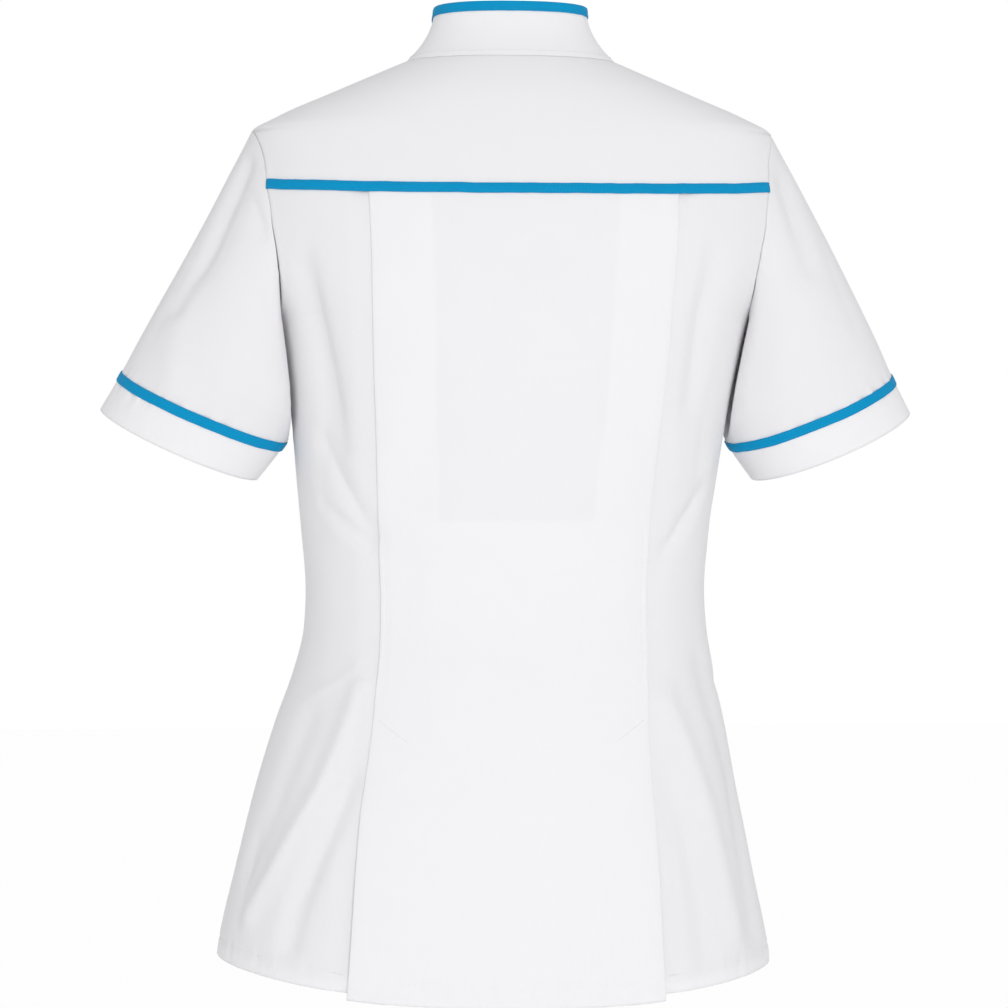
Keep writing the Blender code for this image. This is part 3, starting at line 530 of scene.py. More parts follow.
# The yoke's backing of 0.5 paints it with half the single-layer shade.
yoke = cloth_piece("back_yoke_cloth", body_cloth(yoke_angle, yoke_height, -yoke_depth), polycotton,
                   backing=np.full(yoke_angle.shape, 0.5))
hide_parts("back_yoke")


# Yoke trim
# A folded bias strip of aqua cotton, about 7 mm wide, laid over the yoke seam from armhole to
# armhole and sewn down along both edges with matching thread.

aqua = cloth_material("aqua_binding", (0.0, 0.31, 0.60), (0.0, 0.255, 0.51), (1, 1, 1), 1700,
                      roughness=0.7, sheen=0.02, bump=0.35, shine=0.12)
aqua_thread = thread_material("aqua_thread", (0.0, 0.36, 0.62), (0.0, 0.24, 0.44))

trim_width = 7.4
half_profile = ((-0.5, 0.0), (-0.5, 0.55), (-0.46, 0.85), (-0.36, 0.95), (-0.30, 0.82), (-0.24, 0.95),
                (-0.1, 1.02))
trim_profile = half_profile + tuple((-share, out) for share, out in half_profile[::-1])


def trim_wave(along, seed):
    """A hand-guided strip wanders a little."""
    return np.array([0.5 * noise.noise((place / 31, seed, 0)) + 0.25 * noise.noise((place / 11, seed, 3))
                     for place in along])


trim_level = np.array([float(yoke_low)])
trim_end = side_edge(trim_level, "back")
trim_angle = evenly_round(-trim_end, trim_end, trim_level, 210)[0]
trim_along = row_lengths(body_section(trim_angle, yoke_seam(trim_angle))[None])[0]
trim_line = yoke_seam(trim_angle) + trim_wave(trim_along, 2.0)
tucked = 0.35 + 0.65 * ease(np.minimum(trim_along, trim_along[-1] - trim_along) / 3)
trim_grid = np.stack([body_cloth(trim_angle, trim_line + share * trim_width,
                                 out * tucked + 0.2 + puckers(trim_along, np.abs(share) * 6, 8, 0.2, 6.0))
                      for share, out in trim_profile])
yoke_trim = cloth_piece("yoke_trim_binding", trim_grid, aqua, 0.35)
yoke_trim_sewing = sewing("yoke_trim_sewing", [body_line(trim_angle, trim_line + share * trim_width, 1.05)
                                               for share in (-0.30, 0.30)], aqua_thread, 2.6, 0.4)
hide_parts("yoke_trim")


# Centre back
# The middle panel from the yoke to the hem. Its two edges fold under: 46 mm deep as the action
# pleats down to the waist, then a narrow lapped seam, then the facings of the two hem vents.

back_seam_width = smooth_curve(((-106, 112.5), (-226, 107), (-291, 102.5), (-357, 98.7), (-400, 97),
                                (-484, 99.5), (-559, 106.5), (-687, 114)), 1)


def hem(angle):
    cosine = np.cos(np.radians(angle))
    return -667.5 - np.where(cosine > 0, 18, 10) * cosine ** 2


def lap_width(height, vent_width):
    """Width of the cloth folded or lapped below the centre panel's edge."""
    pleat, vent = ease((height + 336) / 10), ease((-479 - height) / 10)
    return 12 + 34 * pleat + (vent_width - 12) * vent


def near_hem(height, edge):
    return ease((edge + 22 - height) / 10)


hem_turn = 13.0
turned_hem = (*((hem_turn * share, 1.15) for share in (1, 0.75, 0.5, 0.25)),
              (1.0, 1.1), (0.15, 0.9), (-0.05, 0.55), (0.15, 0.12))


def with_hem_turned(*grids):
    """Adds the rows of the turned-up hem below a panel's lowest row: its angle, height, depth and backing."""
    turned = len(turned_hem)
    angle, height, depth, backing = [np.pad(grid, ((turned - 1, 0), (0, 0)), "edge") for grid in grids]
    rises, belows = np.array(turned_hem).T
    height[:turned] += rises[:, None]
    depth[:turned] += belows[:, None]
    return angle, height, depth, backing


def hem_relief(along, above_hem, seed):
    """The hem is drawn in at its sewing and ripples a little beside it."""
    return (-0.5 * np.exp(-((above_hem - hem_turn) / 1.6) ** 2)
            + puckers(along, above_hem - hem_turn * 0.8, 8, 0.95, seed) * ease((above_hem + 2) / 3))


hem_level, centre_low, centre_top, centre_drop = -602, -690, -105.5, 2.5
low_run = 85.5
back_levels = np.concatenate([np.linspace(centre_low, centre_low + low_run, 34)[:-1],
                              np.linspace(hem_level, centre_top, 190)])
seam_angle = angle_at(back_seam_width(back_levels), back_levels, "back")
centre_angle = evenly_round(-seam_angle, seam_angle, back_levels, 84)
below_turn = 1.2 + 1.3 * near_hem(back_levels, -688)
folded_columns, folded_depths = [], []
for bend in np.radians([40, 90, 140]):
    folded_columns.append(moved_angle(seam_angle, back_levels, below_turn / 2 * math.sin(bend)))
    folded_depths.append(below_turn / 2 * (1 - math.cos(bend)))
for share in np.linspace(0.03, 1, 15):
    folded_columns.append(moved_angle(seam_angle, back_levels, -lap_width(back_levels, 26) * share))
    folded_depths.append(below_turn)
folded_angle, folded_depth = np.column_stack(folded_columns), np.column_stack(folded_depths)
centre_angle = np.column_stack([-folded_angle[:, ::-1], centre_angle, folded_angle])
centre_depth = np.column_stack([folded_depth[:, ::-1], np.zeros((len(back_levels), 84)), folded_depth])
hem_share = ease((hem_level - back_levels) / low_run)[:, None]
top_share = ease((back_levels + 140) / 34.5)[:, None]
top_of_back = yoke_seam(centre_angle) - 0.15
centre_height = back_levels[:, None] + hem_share * (hem(centre_angle) - hem(0))
centre_height = centre_height + top_share * (top_of_back - centre_top)
centre_height = np.minimum(centre_height, top_of_back - (centre_top - back_levels)[:, None] * 0.02)
centre_round = row_lengths(body_section(centre_angle, centre_height))
edge_gap = np.minimum(np.abs(centre_round - centre_round[:, 18:19]),
                      np.abs(centre_round[:, -19:-18] - centre_round))
lifted = 1.4 * ease((-500 - back_levels) / 140)[:, None] * np.exp(-(edge_gap / 22) ** 2)
sewn = (ease((-330 - back_levels) / 30) * ease((back_levels + 490) / 60))[:, None]
pressed = (-0.35 * np.exp(-(edge_gap / 3) ** 2) * (1 - sewn)
           - 0.5 * sewn * np.exp(-((edge_gap - 4) / 2.2) ** 2))
centre_relief = lifted + pressed - seam_dip(centre_height - yoke_seam(centre_angle))
above_hem = centre_height - hem(centre_angle) + centre_drop
centre_relief += hem_relief(centre_round, above_hem, 11.0) * (centre_depth == 0)
centre_relief += puckers(centre_round, yoke_seam(centre_angle) - 4 - centre_height, 8, 0.3, 4.0)
# Backing for the painted shade: full over the pleat underlays and below the pleats, 0.4 in the single-layer
# middle above them, which is painted darker.
lined = 1 - ease((edge_gap - 45) / 1.5)
centre_backing = 0.4 + 0.6 * np.maximum(lined, ease((-341 - centre_height) / 2.5))
hemmed_angle, hemmed_height, hemmed_depth, hemmed_backing = with_hem_turned(
    centre_angle, centre_height, centre_depth - centre_relief, centre_backing)
centre_back = cloth_piece("centre_back_cloth", body_cloth(hemmed_angle, hemmed_height, -hemmed_depth),
                          polycotton, backing=hemmed_backing)
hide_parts("centre_back")

centre_lines = []
hem_angles = np.linspace(-1, 1, 90) * (seam_angle[0] - 1.2)
hem_along = np.interp(hem_angles, centre_angle[4, 18:-18], centre_round[4, 18:-18])
centre_lines.append(body_line(hem_angles, hem(hem_angles) - centre_drop + hem_turn,
                              hem_relief(hem_along, np.full(90, hem_turn), 11.0)))
for side in (-1, 1):
    seam_rows = np.linspace(-480, -342, 60)
    at_seam = side * moved_angle(angle_at(back_seam_width(seam_rows), seam_rows, "back"), seam_rows, -4.0)
    centre_lines.append(body_line(at_seam, seam_rows, -0.4))
    vent_top = np.linspace(0, 1, 16)
    vent_x = back_seam_width(-486.0) - 3 - 23 * vent_top
    vent_height = -486 - 17 * vent_top
    centre_lines.append(body_line(side * angle_at(vent_x, vent_height, "back"), vent_height, 0.05))
centre_sewing = sewing("centre_back_sewing", centre_lines, thread)


# Side backs
# One panel each side of the centre back, from the yoke and armhole to the hem. Its inner edge
# runs on below the centre panel as the pleat and vent underlap, and its outer edge is the side seam.

def near_side_hem(rows):
    return ease((hem_level - rows) / (hem_level - side_hem))[:, None]


both_sides = ((-1, "left"), (1, "right"))
side_hem, underarm, panel_top = -667.5, -192, -109
rows_to_underarm = np.concatenate([np.linspace(side_hem, hem_level, 26)[:-1],
                                   np.linspace(hem_level, -193.5, 156),
                                   underarm + np.array([-0.9, -0.3, 0.4, 1.2, 2.4, 4, 6])])
for side, hand in both_sides:
    rows = np.concatenate([rows_to_underarm, np.linspace(-183, panel_top, 29)])
    at_seam = angle_at(back_seam_width(rows), rows, "back")
    lap_depth = 1.75 + 2.3 * near_hem(rows, -682)
    underlap = lap_width(rows, 36)
    top_share = ease((rows + 150) / 41)
    end = side_edge(rows + top_share * (yoke_seam(90) - 0.15 - panel_top), "back")
    start_flat = moved_angle(at_seam, rows, 22)
    angle = [moved_angle(at_seam, rows, -underlap * share) for share in np.linspace(1, 0.04, 16)]
    depth = [lap_depth] * 16
    for reach in np.linspace(0, 22, 10)[:-1]:
        angle.append(moved_angle(at_seam, rows, reach))
        depth.append(lap_depth * (1 - ease((reach - 1.5) / 20)))
    outer = evenly_round(start_flat, end, rows, 48)
    angle = np.column_stack(angle + [outer])
    depth = np.column_stack(depth + [np.zeros(outer.shape)])
    height = rows[:, None] + near_side_hem(rows) * (hem(angle) - side_hem)
    height = height + top_share[:, None] * (yoke_seam(angle) - 0.15 - panel_top)
    round_it = row_lengths(body_section(angle, height))
    to_edge = round_it[:, -1:] - round_it
    relief = -armhole_ridge(to_edge) - seam_dip(height - yoke_seam(angle))
    relief = relief + hem_relief(round_it, height - hem(angle), 15.0 + side)
    relief = relief + puckers(round_it, yoke_seam(angle) - 4 - height, 8, 0.3, 7.0 + side)
    relief = relief + puckers(height, to_edge - 2, 7, 0.25, 21.0 + side)
    depth = depth - relief
    # Backing for the painted shade: doubled only at the turned-up hem, so the rest of the panel is painted
    # darker.
    backing = near_hem(height, hem(angle) - 9)
    hem_angles = np.linspace(seam_angle[0] + 1.5, 89, 60)
    hem_along = np.interp(hem_angles, angle[4, 16:], round_it[4, 16:])
    angle, depth = with_seam_turned(angle, depth, rows, first=0)
    height, backing = np.pad(height, ((0, 0), (0, 3)), "edge"), np.pad(backing, ((0, 0), (0, 3)), "edge")
    angle, height, depth, backing = with_hem_turned(angle, height, depth, backing)
    panel = cloth_piece(f"side_back_{hand}_cloth", body_cloth(side * angle, height, -depth), polycotton,
                        side=side, backing=backing)
    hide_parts(f"side_back_{hand}")
    panel_sewing = sewing(f"side_back_{hand}_sewing",
                          [body_line(side * hem_angles, hem(hem_angles) + hem_turn,
                                     hem_relief(hem_along, np.full(60, hem_turn), 15.0 + side))], thread)


# Fronts
# Two plain fronts from the shoulder seams to the hem, each shaped by a bust dart from the side
# seam and a long waist dart. Their edges are turned under beside the zip and sewn down.

def neck_edge(height):
    """Body angle of the front neck seam at a height."""
    rise = np.clip(-height / 75, 0, 1) ** (1 / 2.4)
    half = 79 * np.sqrt(np.maximum(0.0, 1 - rise * rise))
    return angle_at(half, height, "front")


def front_edge(height):
    """Body angle at which a front ends, at the zip or the neck seam."""
    at_zip = angle_at(np.full(np.shape(height), 4.5), height, "front")
    at_neck = moved_angle(neck_edge(height), height, -0.6)
    return np.where(height <= -75, at_zip, np.minimum(at_zip, at_neck))


rows_at_neck = -np.array([76.5, 75.4, 74.6, 73.6, 72, 70, 67.5, 65, 62, 59, 56, 54, 53])
for side, hand in both_sides:
    rows = np.concatenate([rows_to_underarm, np.linspace(-183, -78, 41), rows_at_neck,
                           evenly_up(shoulder_level, -0.35, 2.8, 100)[1:]])
    start, end = side_edge(rows, "front"), front_edge(rows)
    angle = evenly_round(start, end, rows, 76)
    height = rows[:, None] + near_side_hem(rows) * (hem(angle) - side_hem)
    round_it = row_lengths(body_section(angle, height))
    to_end = round_it[:, -1:] - round_it
    relief = -seam_dip(round_it) - seam_dip(to_end, 0.5, 1.2)
    relief = relief + hem_relief(round_it, height - hem(angle), 31.0 + side)
    relief = relief + puckers(height, to_end - 5, 5, 0.3, 41.0 + side) * ease((-80 - height) / 5)
    relief = relief - 0.4 * np.exp(-((to_end - 7) / 1.5) ** 2) * ease((-80 - height) / 5)
    points = body_section(angle, height)
    for dart in (((172, -205), (120, -214), (88, -222)), ((88, -262), (86, -330), (86, -394), (92, -480))):
        path = body_path("front", curved(dart))
        gap, away, run, along = distance_to_path(points.reshape(-1, 3), path)
        groove = -1.0 * np.exp(-(gap / 1.6) ** 1.5) - 0.8 * np.exp(-(gap / 7) ** 2)
        open_end = ease((1 - along) / 0.35) * (1 if dart[0][0] > 150 else ease(along / 0.35))
        relief = relief + (groove * open_end).reshape(relief.shape)
    depth = -relief
    # Backing for the painted shade: doubled at the turned-up hem and beside the zip, painted darker
    # elsewhere.
    backing = np.maximum(near_hem(height, hem(angle) - 9), 1 - ease((to_end - 14) / 2))
    angle, depth = with_seam_turned(angle, depth, rows, width=6.0)
    height, backing = np.pad(height, ((0, 0), (3, 3)), "edge"), np.pad(backing, ((0, 0), (3, 3)), "edge")
    angle, height, depth, backing = with_hem_turned(angle, height, depth, backing)
    panel = cloth_piece(f"front_{hand}_cloth", body_cloth(side * angle, height, -depth), polycotton,
                        side=side, backing=backing)
    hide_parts(f"front_{hand}")
    hem_angles = np.linspace(91, 176, 90)
    beside_zip = np.linspace(-674, -82, 240)
    edge_angle = angle_at(np.full(len(beside_zip), 11.5), beside_zip, "front")
    panel_sewing = sewing(f"front_{hand}_sewing",
                          [body_line(side * hem_angles, hem(hem_angles) + hem_turn, -0.35),
                           body_line(side * edge_angle, beside_zip, -0.3)], thread)


# Sleeves
# Short set-in sleeves, each one piece closed by a seam below the arm and eased into the armhole.
# The hang of the upper arm draws one long soft fold down the back of the left sleeve.

sleeve_long, sleeve_girth, sleeve_trim_width, band_seam = 234, 400, 8.6, 0.885
# Rings of the sleeve: along, centre x, y and height, half length and depth, slope, lag of the back
ring_rows = ((0.72, 216.5, -1, -238, 67.8, 55, 26.5, 6), (0.885, 229, 1, -260.5, 67, 52, 22.5, 9),
             (1.0, 245, 3, -285, 65, 50, 23.2, 10))
ring_values = [smooth_curve(ring_rows, column) for column in range(1, 8)]


def ring_point(turn, along):
    """Points on a sleeve's oval ring, on the right side; turn 0 is its outer end, 90 its back."""
    centre_x, centre_y, centre_height, half_length, half_depth, slope, lag = [
        value(along) for value in ring_values]
    reach, back = half_length * np.cos(np.radians(turn)), np.sin(np.radians(turn))
    return np.stack([centre_x + reach * np.cos(np.radians(slope)), centre_y - half_depth * back,
                     centre_height + reach * np.sin(np.radians(slope)) - lag * back], axis=-1)


def clear_of_body(points, gap):
    """The points, moved straight out where they would come nearer to the body than the gap."""
    x, y, height = points[..., 0], points[..., 1], points[..., 2]
    behind = y < 0
    depth = np.where(behind, back_depth(height), front_depth(height)) + gap
    half_width = body_half_width(height) + gap
    around = np.degrees(np.arccos(np.minimum(1.0, np.abs(y) / depth) ** (squareness / 2)))
    hole = np.where(behind, armhole_angle(height, "back"), armhole_angle(height, "front"))
    free = (height > -192) & (around > np.abs(90 - np.abs(90 - hole)))
    share = (np.abs(x) / half_width) ** squareness + (np.abs(y) / depth) ** squareness
    factor = np.where(free | (share >= 1), 1.0, np.maximum(share, 1e-6) ** (-1 / squareness))
    return np.stack([x * factor, y * factor, height], axis=-1)


def sleeve_plain(turn, along):
    """Points of an unfolded right sleeve, from the armhole at 0 to the hem at 1."""
    turn, along = np.broadcast_arrays(np.asarray(turn, float), np.asarray(along, float))
    start, end = body_section(*armhole_place(turn)), ring_point(turn, np.full(turn.shape, 0.72))
    leave = (ring_point(turn, np.full(turn.shape, 0.77)) - end) / 0.05 * 0.72
    t = np.minimum(along / 0.72, 1)[..., None]
    chord = end - start
    upper = (start * (2 * t ** 3 - 3 * t ** 2 + 1) + chord * (t ** 3 - 2 * t ** 2 + t)
             + end * (3 * t ** 2 - 2 * t ** 3) + (chord * 0.55 + leave * 0.45) * (t ** 3 - t ** 2))
    points = np.where((along >= 0.72)[..., None], ring_point(turn, along), upper)
    return clear_of_body(points, 0.5 + 3.5 * ease(along * sleeve_long / 30))


def sleeve_outward(turn, along):
    across = sleeve_plain(turn + 2, along) - sleeve_plain(turn - 2, along)
    up, low = np.maximum(0.0, along - 0.02), np.minimum(1.0, along + 0.02)
    down = sleeve_plain(turn, low) - sleeve_plain(turn, up)
    return unit(np.cross(across, down))


def sleeve_path(path):
    turn, along = np.array(path, float).T
    return sleeve_plain(turn, along)


# Side, path of (turn, along), lift, spread; then the same for the finer creases with two spreads
sleeve_folds = (
    (-1, ((32, 0.08), (34, 0.20), (38, 0.34), (36, 0.56)), -4.0, 9),
    (-1, ((48, 0.14), (64, 0.11), (82, 0.10)), -2.0, 7),
    (-1, ((36, 0.50), (60, 0.80)), 2.5, 12),
    (1, ((40, 0.10), (50, 0.20), (58, 0.34)), -2.5, 11),
    (1, ((110, 0.30), (124, 0.60)), -1.5, 11),
    (-1, ((290, 0.14), (264, 0.52)), -3.5, 12),
    (1, ((284, 0.10), (268, 0.46)), -3.5, 12), (1, ((318, 0.44), (300, 0.78)), 2.5, 12))
sleeve_creases = (
    (-1, ((27, 0.05), (31, 0.20), (35, 0.36), (34, 0.54)), -2.9, 11.0, 11.0),
    (-1, ((50, 0.20), (52, 0.34), (48, 0.46)), -0.8, 5.0, 9.0),
    (-1, ((50, 0.13), (66, 0.10), (84, 0.09)), -1.0, 3.0, 5.0),
    (-1, ((14, 0.30), (24, 0.52), (30, 0.78)), -0.9, 8.0, 6.0),
    (-1, ((282, 0.10), (270, 0.28), (262, 0.44)), -1.3, 5.0, 8.0),
    (1, ((44, 0.06), (52, 0.16), (60, 0.26)), -1.2, 6.0, 9.0),
    (1, ((20, 0.24), (34, 0.42), (40, 0.70)), -0.8, 8.0, 7.0),
    (1, ((280, 0.08), (268, 0.26), (258, 0.44)), -1.3, 8.0, 5.0),
    (1, ((330, 0.20), (322, 0.50), (318, 0.70)), -0.8, 7.0, 9.0))
sleeve_fold_paths = {side: [(sleeve_path(path), lift, spread) for owner, path, lift, spread in sleeve_folds
                            if owner == side] for side in (-1, 1)}
sleeve_crease_paths = {side: [(sleeve_path(curved(path)), lift, left, right)
                              for owner, path, lift, left, right in sleeve_creases if owner == side]
                       for side in (-1, 1)}


def sleeve_cloth(side, turn, along, out=0.0):
    """Points of a folded sleeve; the left one is mirrored."""
    turn, along = np.broadcast_arrays(np.asarray(turn, float), np.asarray(along, float))
    points, outward = sleeve_plain(turn, along), sleeve_outward(turn, along)
    lift = fold_lift(points, outward, sleeve_fold_paths[side], sleeve_crease_paths[side]) * ease(along / 0.10)
    uneven = unevenness(points + 400 * side) * ease(along / 0.15)
    points = points + outward * (lift + 0.7 * uneven + out)[..., None]
    return points * np.array([side, 1, 1])


sleeve_turns = np.linspace(0, 360, 168, endpoint=False)
sleeve_lengths = sleeve_turns[None] / 360 * sleeve_girth
for side, hand in both_sides:
    alongs = np.concatenate([np.linspace(band_seam - 0.003, 0.02, 78), [0.012, 0.006, 0.0005]])[:, None]
    above_band = (band_seam - alongs) * sleeve_long
    relief = -seam_dip(alongs * sleeve_long, 0.12, 0.9) - seam_dip(above_band, 0.8, 2.5)
    drawn_up = 0.8 + 1.3 * np.cos(np.radians(sleeve_turns / 2)) ** 2
    relief = relief + drawn_up * puckers(sleeve_lengths, above_band - 4, 9, 0.7, 51.0 + side)
    relief = relief + puckers(sleeve_lengths, alongs * sleeve_long - 3, 6, 0.35, 55.0 + side)
    turned = np.array([[1.2], [1.0], [0.8]])
    below_seam = band_seam - np.array([[0.035], [0.015], [0.003]])
    all_alongs = np.concatenate([below_seam, alongs, [[0.001], [0.014], [0.03]]])
    all_relief = np.concatenate([relief[:1] - turned, relief, relief[-1:] - turned[::-1]])
    sleeve_grid = sleeve_cloth(side, sleeve_turns[None], all_alongs, all_relief)
    # Given no backing, the sleeve is painted throughout with the single-layer shade.
    sleeve = cloth_piece(f"sleeve_{hand}_cloth", sleeve_grid, polycotton, side=-side, ring=True)
    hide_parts(f"sleeve_{hand}")

    # Sleeve band: the cuff below the trim, folded up inside to twice the cloth.
    band_alongs = np.linspace(1.0, band_seam + 0.003, 14)[:, None]
    below_trim = (band_alongs - band_seam) * sleeve_long
    relief = (drawn_up * puckers(sleeve_lengths, below_trim - 3, 9, 0.6, 61.0 + side)
              - seam_dip(below_trim, 0.8, 2.5))
    fold = np.array([[0.868, -2.2], [0.885, -2.2], [0.905, -1.9], [0.93, -1.4], [0.96, -1.2], [0.99, -1.2],
                     [0.998, -1.0], [1.0, -0.6]])
    band_grid = sleeve_cloth(side, sleeve_turns[None], np.concatenate([fold[:, :1], band_alongs]),
                             np.concatenate([relief[:1] + fold[:, 1:], relief]))
    band = cloth_piece(f"sleeve_band_{hand}_cloth", band_grid, polycotton, side=-side, ring=True,
                       backing=np.ones(band_grid.shape[:2]))
    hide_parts(f"sleeve_band_{hand}")

    # Sleeve trim: the same aqua strip over the band's seam, sewn along both edges.
    none_at_ends = np.sin(np.radians(sleeve_turns / 2)) ** 0.5
    wander = trim_wave(sleeve_lengths[0], 71.0 + side) * none_at_ends / sleeve_long
    trim_share = sleeve_trim_width / sleeve_long
    trim_grid = np.stack([sleeve_cloth(side, sleeve_turns, band_seam - share * trim_share + wander, out + 0.1)
                          for share, out in trim_profile])
    trim = cloth_piece(f"sleeve_trim_{hand}_binding", trim_grid, aqua, 0.35, side=-side, ring=True)
    closed, wander = np.append(sleeve_turns, 360), np.append(wander, wander[0])
    trim_sewing = sewing(f"sleeve_trim_{hand}_sewing",
                         [[sleeve_cloth(side, closed, band_seam - share * trim_share + wander, out)
                           for out in (0.95, 1.95)] for share in (-0.30, 0.30)], aqua_thread, 2.6, 0.4)
    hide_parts(f"sleeve_trim_{hand}")


# Collar
# A stiffened stand collar, two layers of the same cloth, open at the centre front. An aqua
# binding is folded over its top edge and sewn through.

def neck_place(turn):
    """Body angle and height of the neck seam, by the turn round the neck from centre back."""
    around = np.abs(turn)
    forward = np.radians(np.maximum(around - 90, 0))
    height = -75 * np.sin(forward) ** 2.4
    in_front = angle_at(79 * np.cos(forward), height, "front")
    return np.where(around <= 90, turn, np.copysign(in_front, turn)), height


def collar_point(turn, rise):
    """Points of the stand, from the neck seam at 0 to its top edge at 1."""
    turn, rise = np.broadcast_arrays(np.asarray(turn, float), np.asarray(rise, float))
    angle, height = neck_place(turn)
    base = body_section(angle, height)
    around, forward = np.radians(np.minimum(np.abs(turn), 90)), np.radians(np.maximum(np.abs(turn) - 90, 0))
    power = 2 / squareness
    across = np.where(np.abs(turn) <= 90, np.sin(around) ** power, np.cos(forward))
    deep = np.where(np.abs(turn) <= 90, -42 * np.cos(around) ** power, 60 * np.sin(forward) ** power)
    stand = mix(collar_height, 34, np.sin(forward))
    top = np.stack([np.copysign(57 * across, turn), deep, height + stand], axis=-1)
    narrowing = rise + (rise - rise ** 2) * (1 - np.sin(forward))
    return mix(base, top, np.stack([narrowing, narrowing, rise], axis=-1))


def collar_top(turn):
    """How far up the collar ends; its two front corners are rounded."""
    return 1 - 0.42 * np.maximum(0.0, (np.abs(turn) - 165) / 11) ** 2


def collar_outward(turn, rise):
    across = collar_point(turn + 1, rise) - collar_point(turn - 1, rise)
    up = collar_point(turn, rise + 0.05) - collar_point(turn, rise - 0.05)
    return unit(np.cross(across, up))


def collar_cloth(turn, rise, out):
    return collar_point(turn, rise) + collar_outward(turn, rise) * np.asarray(out)[..., None]


collar_height = 41
round_collar, up_stand = 240, 22
collar_turns = np.linspace(-176, 176, round_collar)
top_edge = collar_top(collar_turns)
collar_rises = -0.03 + (top_edge[None] + 0.03) * np.linspace(0, 1, up_stand)[:, None]
up_collar = collar_rises * collar_height
collar_along = row_lengths(collar_point(collar_turns[None], 0.5))
ends = np.minimum(collar_along, collar_along[:, -1:] - collar_along)
collar_relief = (-seam_dip(np.maximum(up_collar, 0), 0.15, 1.0) - seam_dip(ends, 0.3, 1.5)
                 + puckers(collar_along, up_collar - 34, 5, 0.25, 81.0)
                 + 0.15 * np.exp(-((up_collar - 3.5) / 2) ** 2))
collar = cloth_piece("collar_stand_cloth", collar_cloth(collar_turns[None], collar_rises, collar_relief),
                     polycotton, 1.3, backing=np.ones(collar_rises.shape))
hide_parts("collar_stand")

binding_profile = ((-6.9, 0.25), (-6.9, 0.8), (-6.4, 1.05), (-5.2, 0.95), (-3.0, 1.1), (-1.0, 1.05),
                   (0.1, 0.7), (0.55, 0.0), (0.65, -0.7), (0.5, -1.45), (-0.2, -2.1), (-1.5, -2.45),
                   (-3.5, -2.5), (-5.2, -2.35), (-6.4, -2.45), (-6.9, -2.2), (-6.9, -1.65))
binding_grid = []
for up, out in binding_profile:
    wander = 0.35 * trim_wave(collar_along[0], 91.0) if up < -6 else 0
    rise = top_edge + (up + wander) / collar_height
    binding_grid.append(collar_cloth(collar_turns, rise, np.full(round_collar, out)))
binding = cloth_piece("collar_binding_strip", np.stack(binding_grid), aqua, 0.3)


def collar_line(rise, out):
    """A line of sewing round the collar, for sewing()."""
    return [collar_cloth(collar_turns, rise, np.full(round_collar, out + above)) for above in (0, 1)]


binding_sewing = sewing("collar_binding_sewing", [collar_line(top_edge - 5.3 / collar_height, 1.02)],
                        aqua_thread, 2.6, 0.4)
collar_sewing = sewing("collar_seam_sewing", [collar_line(0.09, 0.28)], thread)
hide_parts("collar_binding")


# Zip
# Two woven polyester tapes behind the front edges, with a row of moulded white teeth that mesh
# along the centre. The plated slider stays at the top and its pull tab hangs from the bridge.

tape_cloth = cloth_material("zip_tape_weave", (0.84, 0.85, 0.87), (0.78, 0.79, 0.81), (1, 1, 1), 1400,
                            roughness=0.75, sheen=0.1, bump=0.5)
tape_rows = np.linspace(-674.5, -81, 200)
tape_profile = ((14.9, 0), (13.5, 0.1), (10, 0), (6, 0), (3.2, 0), (2.2, -0.15), (1.2, -0.1))
for side, hand in both_sides:
    grid = np.stack([body_cloth(side * angle_at(np.full(200, x), tape_rows, "front"), tape_rows, -2.0 - bulge)
                     for x, bulge in tape_profile], axis=1)
    tape = cloth_piece(f"zip_tape_{hand}_weave", grid, tape_cloth, 0.7, side=side)
    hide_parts(f"zip_tape_{hand}")


def hard_finish(name, dark, light, grain, detail, roughness, metallic):
    """A hard part's surface, a little uneven in tone and gloss."""
    made, tree, shader = new_material(name)
    place = shader_node(tree, "TexCoord", {})
    cloud = shader_node(tree, "TexNoise", {"Vector": place.outputs["Object"], "Scale": grain,
                                           "Detail": detail})
    uneven = cloud.outputs["Fac"]
    tone = shader_node(tree, "Mix", {"A": (*dark, 1), "B": (*light, 1), "Factor": uneven}, data_type="RGBA")
    gloss = shader_node(tree, "MapRange", {"Value": uneven, "To Min": roughness[0], "To Max": roughness[1]})
    feed(tree, shader, {"Base Color": tone.outputs["Result"], "Roughness": gloss.outputs["Result"],
                        "Metallic": metallic})
    return made


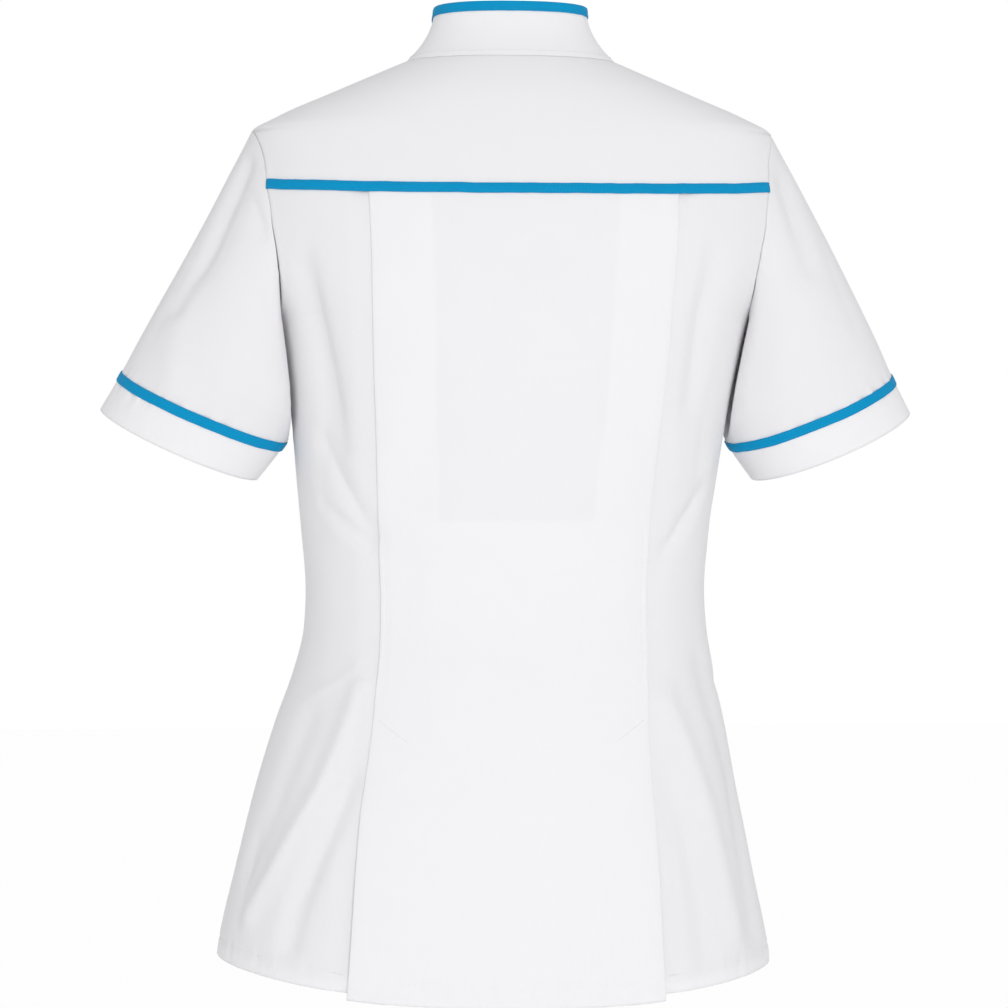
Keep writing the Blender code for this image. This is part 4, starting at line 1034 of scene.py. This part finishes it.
nylon = hard_finish("moulded_teeth", (0.80, 0.81, 0.83), (0.87, 0.88, 0.89), 300, 2, (0.28, 0.42), 0.0)
tooth_rows = np.arange(-673, -96.5, 1.15)
middle = body_cloth(np.full(len(tooth_rows), 180.0), tooth_rows, -2.35)
out_row = body_outward(np.full(len(tooth_rows), 180.0), tooth_rows)
middle, up_row = as_it_hangs(middle), unit(np.gradient(middle, axis=0))
tooth_outline = ((-2.4, -0.36), (-1.2, -0.42), (0.5, -0.30), (0.85, 0.0),
                 (0.5, 0.30), (-1.2, 0.42), (-2.4, 0.36))
tooth_points, tooth_faces = [], []
for k, (centre, out, up) in enumerate(zip(middle, out_row, up_row)):
    across = np.array([1.0, 0, 0]) * (1 if k % 2 else -1)
    start, count = len(tooth_points), len(tooth_outline)
    for layer, shrink in ((-0.58, 0.82), (-0.38, 1.0), (0.38, 1.0), (0.58, 0.82)):
        for x, z in tooth_outline:
            reach = x * shrink if x > -2 else x
            tooth_points.append(centre + across * reach + up * z * shrink * 1.1 + out * layer)
    for layer in range(3):
        for n in range(count):
            after = (n + 1) % count
            a, b = start + layer * count, start + (layer + 1) * count
            quad = (a + n, a + after, b + after, b + n)
            tooth_faces.append(quad if k % 2 else quad[::-1])
    top = tuple(start + 3 * count + n for n in range(count))
    low = tuple(start + n for n in range(count))[::-1]
    tooth_faces += [top, low] if k % 2 else [top[::-1], low[::-1]]
new_piece("zip_teeth", tooth_points, tooth_faces, nylon)

plated = hard_finish("plated_zinc", (0.70, 0.70, 0.71), (0.78, 0.78, 0.79), 150, 3, (0.20, 0.30), 1.0)
for name, width in (("zip_slider", 0.0003), ("zip_pull", 0.00022)):
    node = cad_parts[name]
    node.data.materials.clear()
    node.data.materials.append(plated)
    edges = node.modifiers.new("rounded edges", "BEVEL")
    edges.width = width
    edges.segments = 2
    edges.angle_limit = math.radians(40)


# Studio
# A pale floor at a standing wearer's feet, a large soft light beside the camera and one before
# the front, a low weak one at the left, and a white surround that is brighter to both sides.

floor_mesh = bpy.data.meshes.new("studio_floor")
floor_reach, floor_level = 14, -1.4
floor_corners = [(x * floor_reach, y * floor_reach, floor_level)
                 for x, y in ((-1, -1), (1, -1), (1, 1), (-1, 1))]
floor_mesh.from_pydata(floor_corners, [], [(0, 1, 2, 3)])
floor = bpy.data.objects.new("studio_floor", floor_mesh)
bpy.context.scene.collection.objects.link(floor)
floor_paint, paint_tree, floor_shader = new_material("studio_floor_paint")
feed(paint_tree, floor_shader, {"Base Color": (0.9, 0.9, 0.9, 1), "Roughness": 0.9})
glow = shader_node(paint_tree, "Emission", {"Strength": 1.0})
in_view = shader_node(paint_tree, "LightPath", {}).outputs["Is Camera Ray"]
glow_share = shader_node(paint_tree, "MapRange", {"Value": in_view, "To Max": 0.97})
blend = shader_node(paint_tree, "MixShader", {0: glow_share.outputs["Result"],
                                              1: floor_shader.outputs["BSDF"],
                                              2: glow.outputs["Emission"]})
feed(paint_tree, paint_tree.nodes["Material Output"], {"Surface": blend.outputs["Shader"]})
floor_mesh.materials.append(floor_paint)

surround = bpy.data.worlds.new("studio_surround")
surround.use_nodes = True
bpy.context.scene.world = surround
air = surround.node_tree
toward = shader_node(air, "TexCoord", {})
sideways = shader_node(air, "SeparateXYZ", {"Vector": toward.outputs["Generated"]})
squared = shader_node(air, "Math", {0: sideways.outputs["X"], 1: 2.0}, operation="POWER")
banks = shader_node(air, "MapRange", {"Value": squared.outputs["Value"], "To Min": 0.585, "To Max": 0.84})
in_sight = shader_node(air, "LightPath", {}).outputs["Is Camera Ray"]
strength = shader_node(air, "MapRange", {"Value": in_sight, "To Min": banks.outputs["Result"], "To Max": 1.0})
feed(air, air.nodes["Background"], {"Color": (1.0, 1.0, 1.0, 1), "Strength": strength.outputs["Result"]})


def soft_light(name, place, target, size, power):
    lamp = bpy.data.lights.new(name, "AREA")
    lamp.shape = "DISK"
    lamp.size = size
    lamp.energy = power
    holder = bpy.data.objects.new(name, lamp)
    bpy.context.scene.collection.objects.link(holder)
    holder.location = place
    holder.rotation_euler = (Vector(target) - Vector(place)).to_track_quat("-Z", "Y").to_euler()


soft_light("key_light", (0.45, -2.95, 0.15), (0, 0, -0.3), 1.3, 31.5)
soft_light("front_light", (0.45, 2.95, 0.15), (0, 0, -0.3), 1.3, 26)
soft_light("left_fill_light", (-3.0, -0.7, -0.7), (0, 0, -0.45), 1.5, 6)

camera_data = bpy.data.cameras.new("camera")
camera = bpy.data.objects.new("camera", camera_data)
bpy.context.scene.collection.objects.link(camera)
camera.location = (-0.2266, -2.5901, -0.330)
camera.rotation_euler = (math.radians(90), 0, math.radians(-5))
camera_data.lens = 123.8
camera_data.sensor_width = 36
camera_data.shift_x = -0.001
bpy.context.scene.camera = camera
bpy.context.scene.view_settings.view_transform = "Standard"
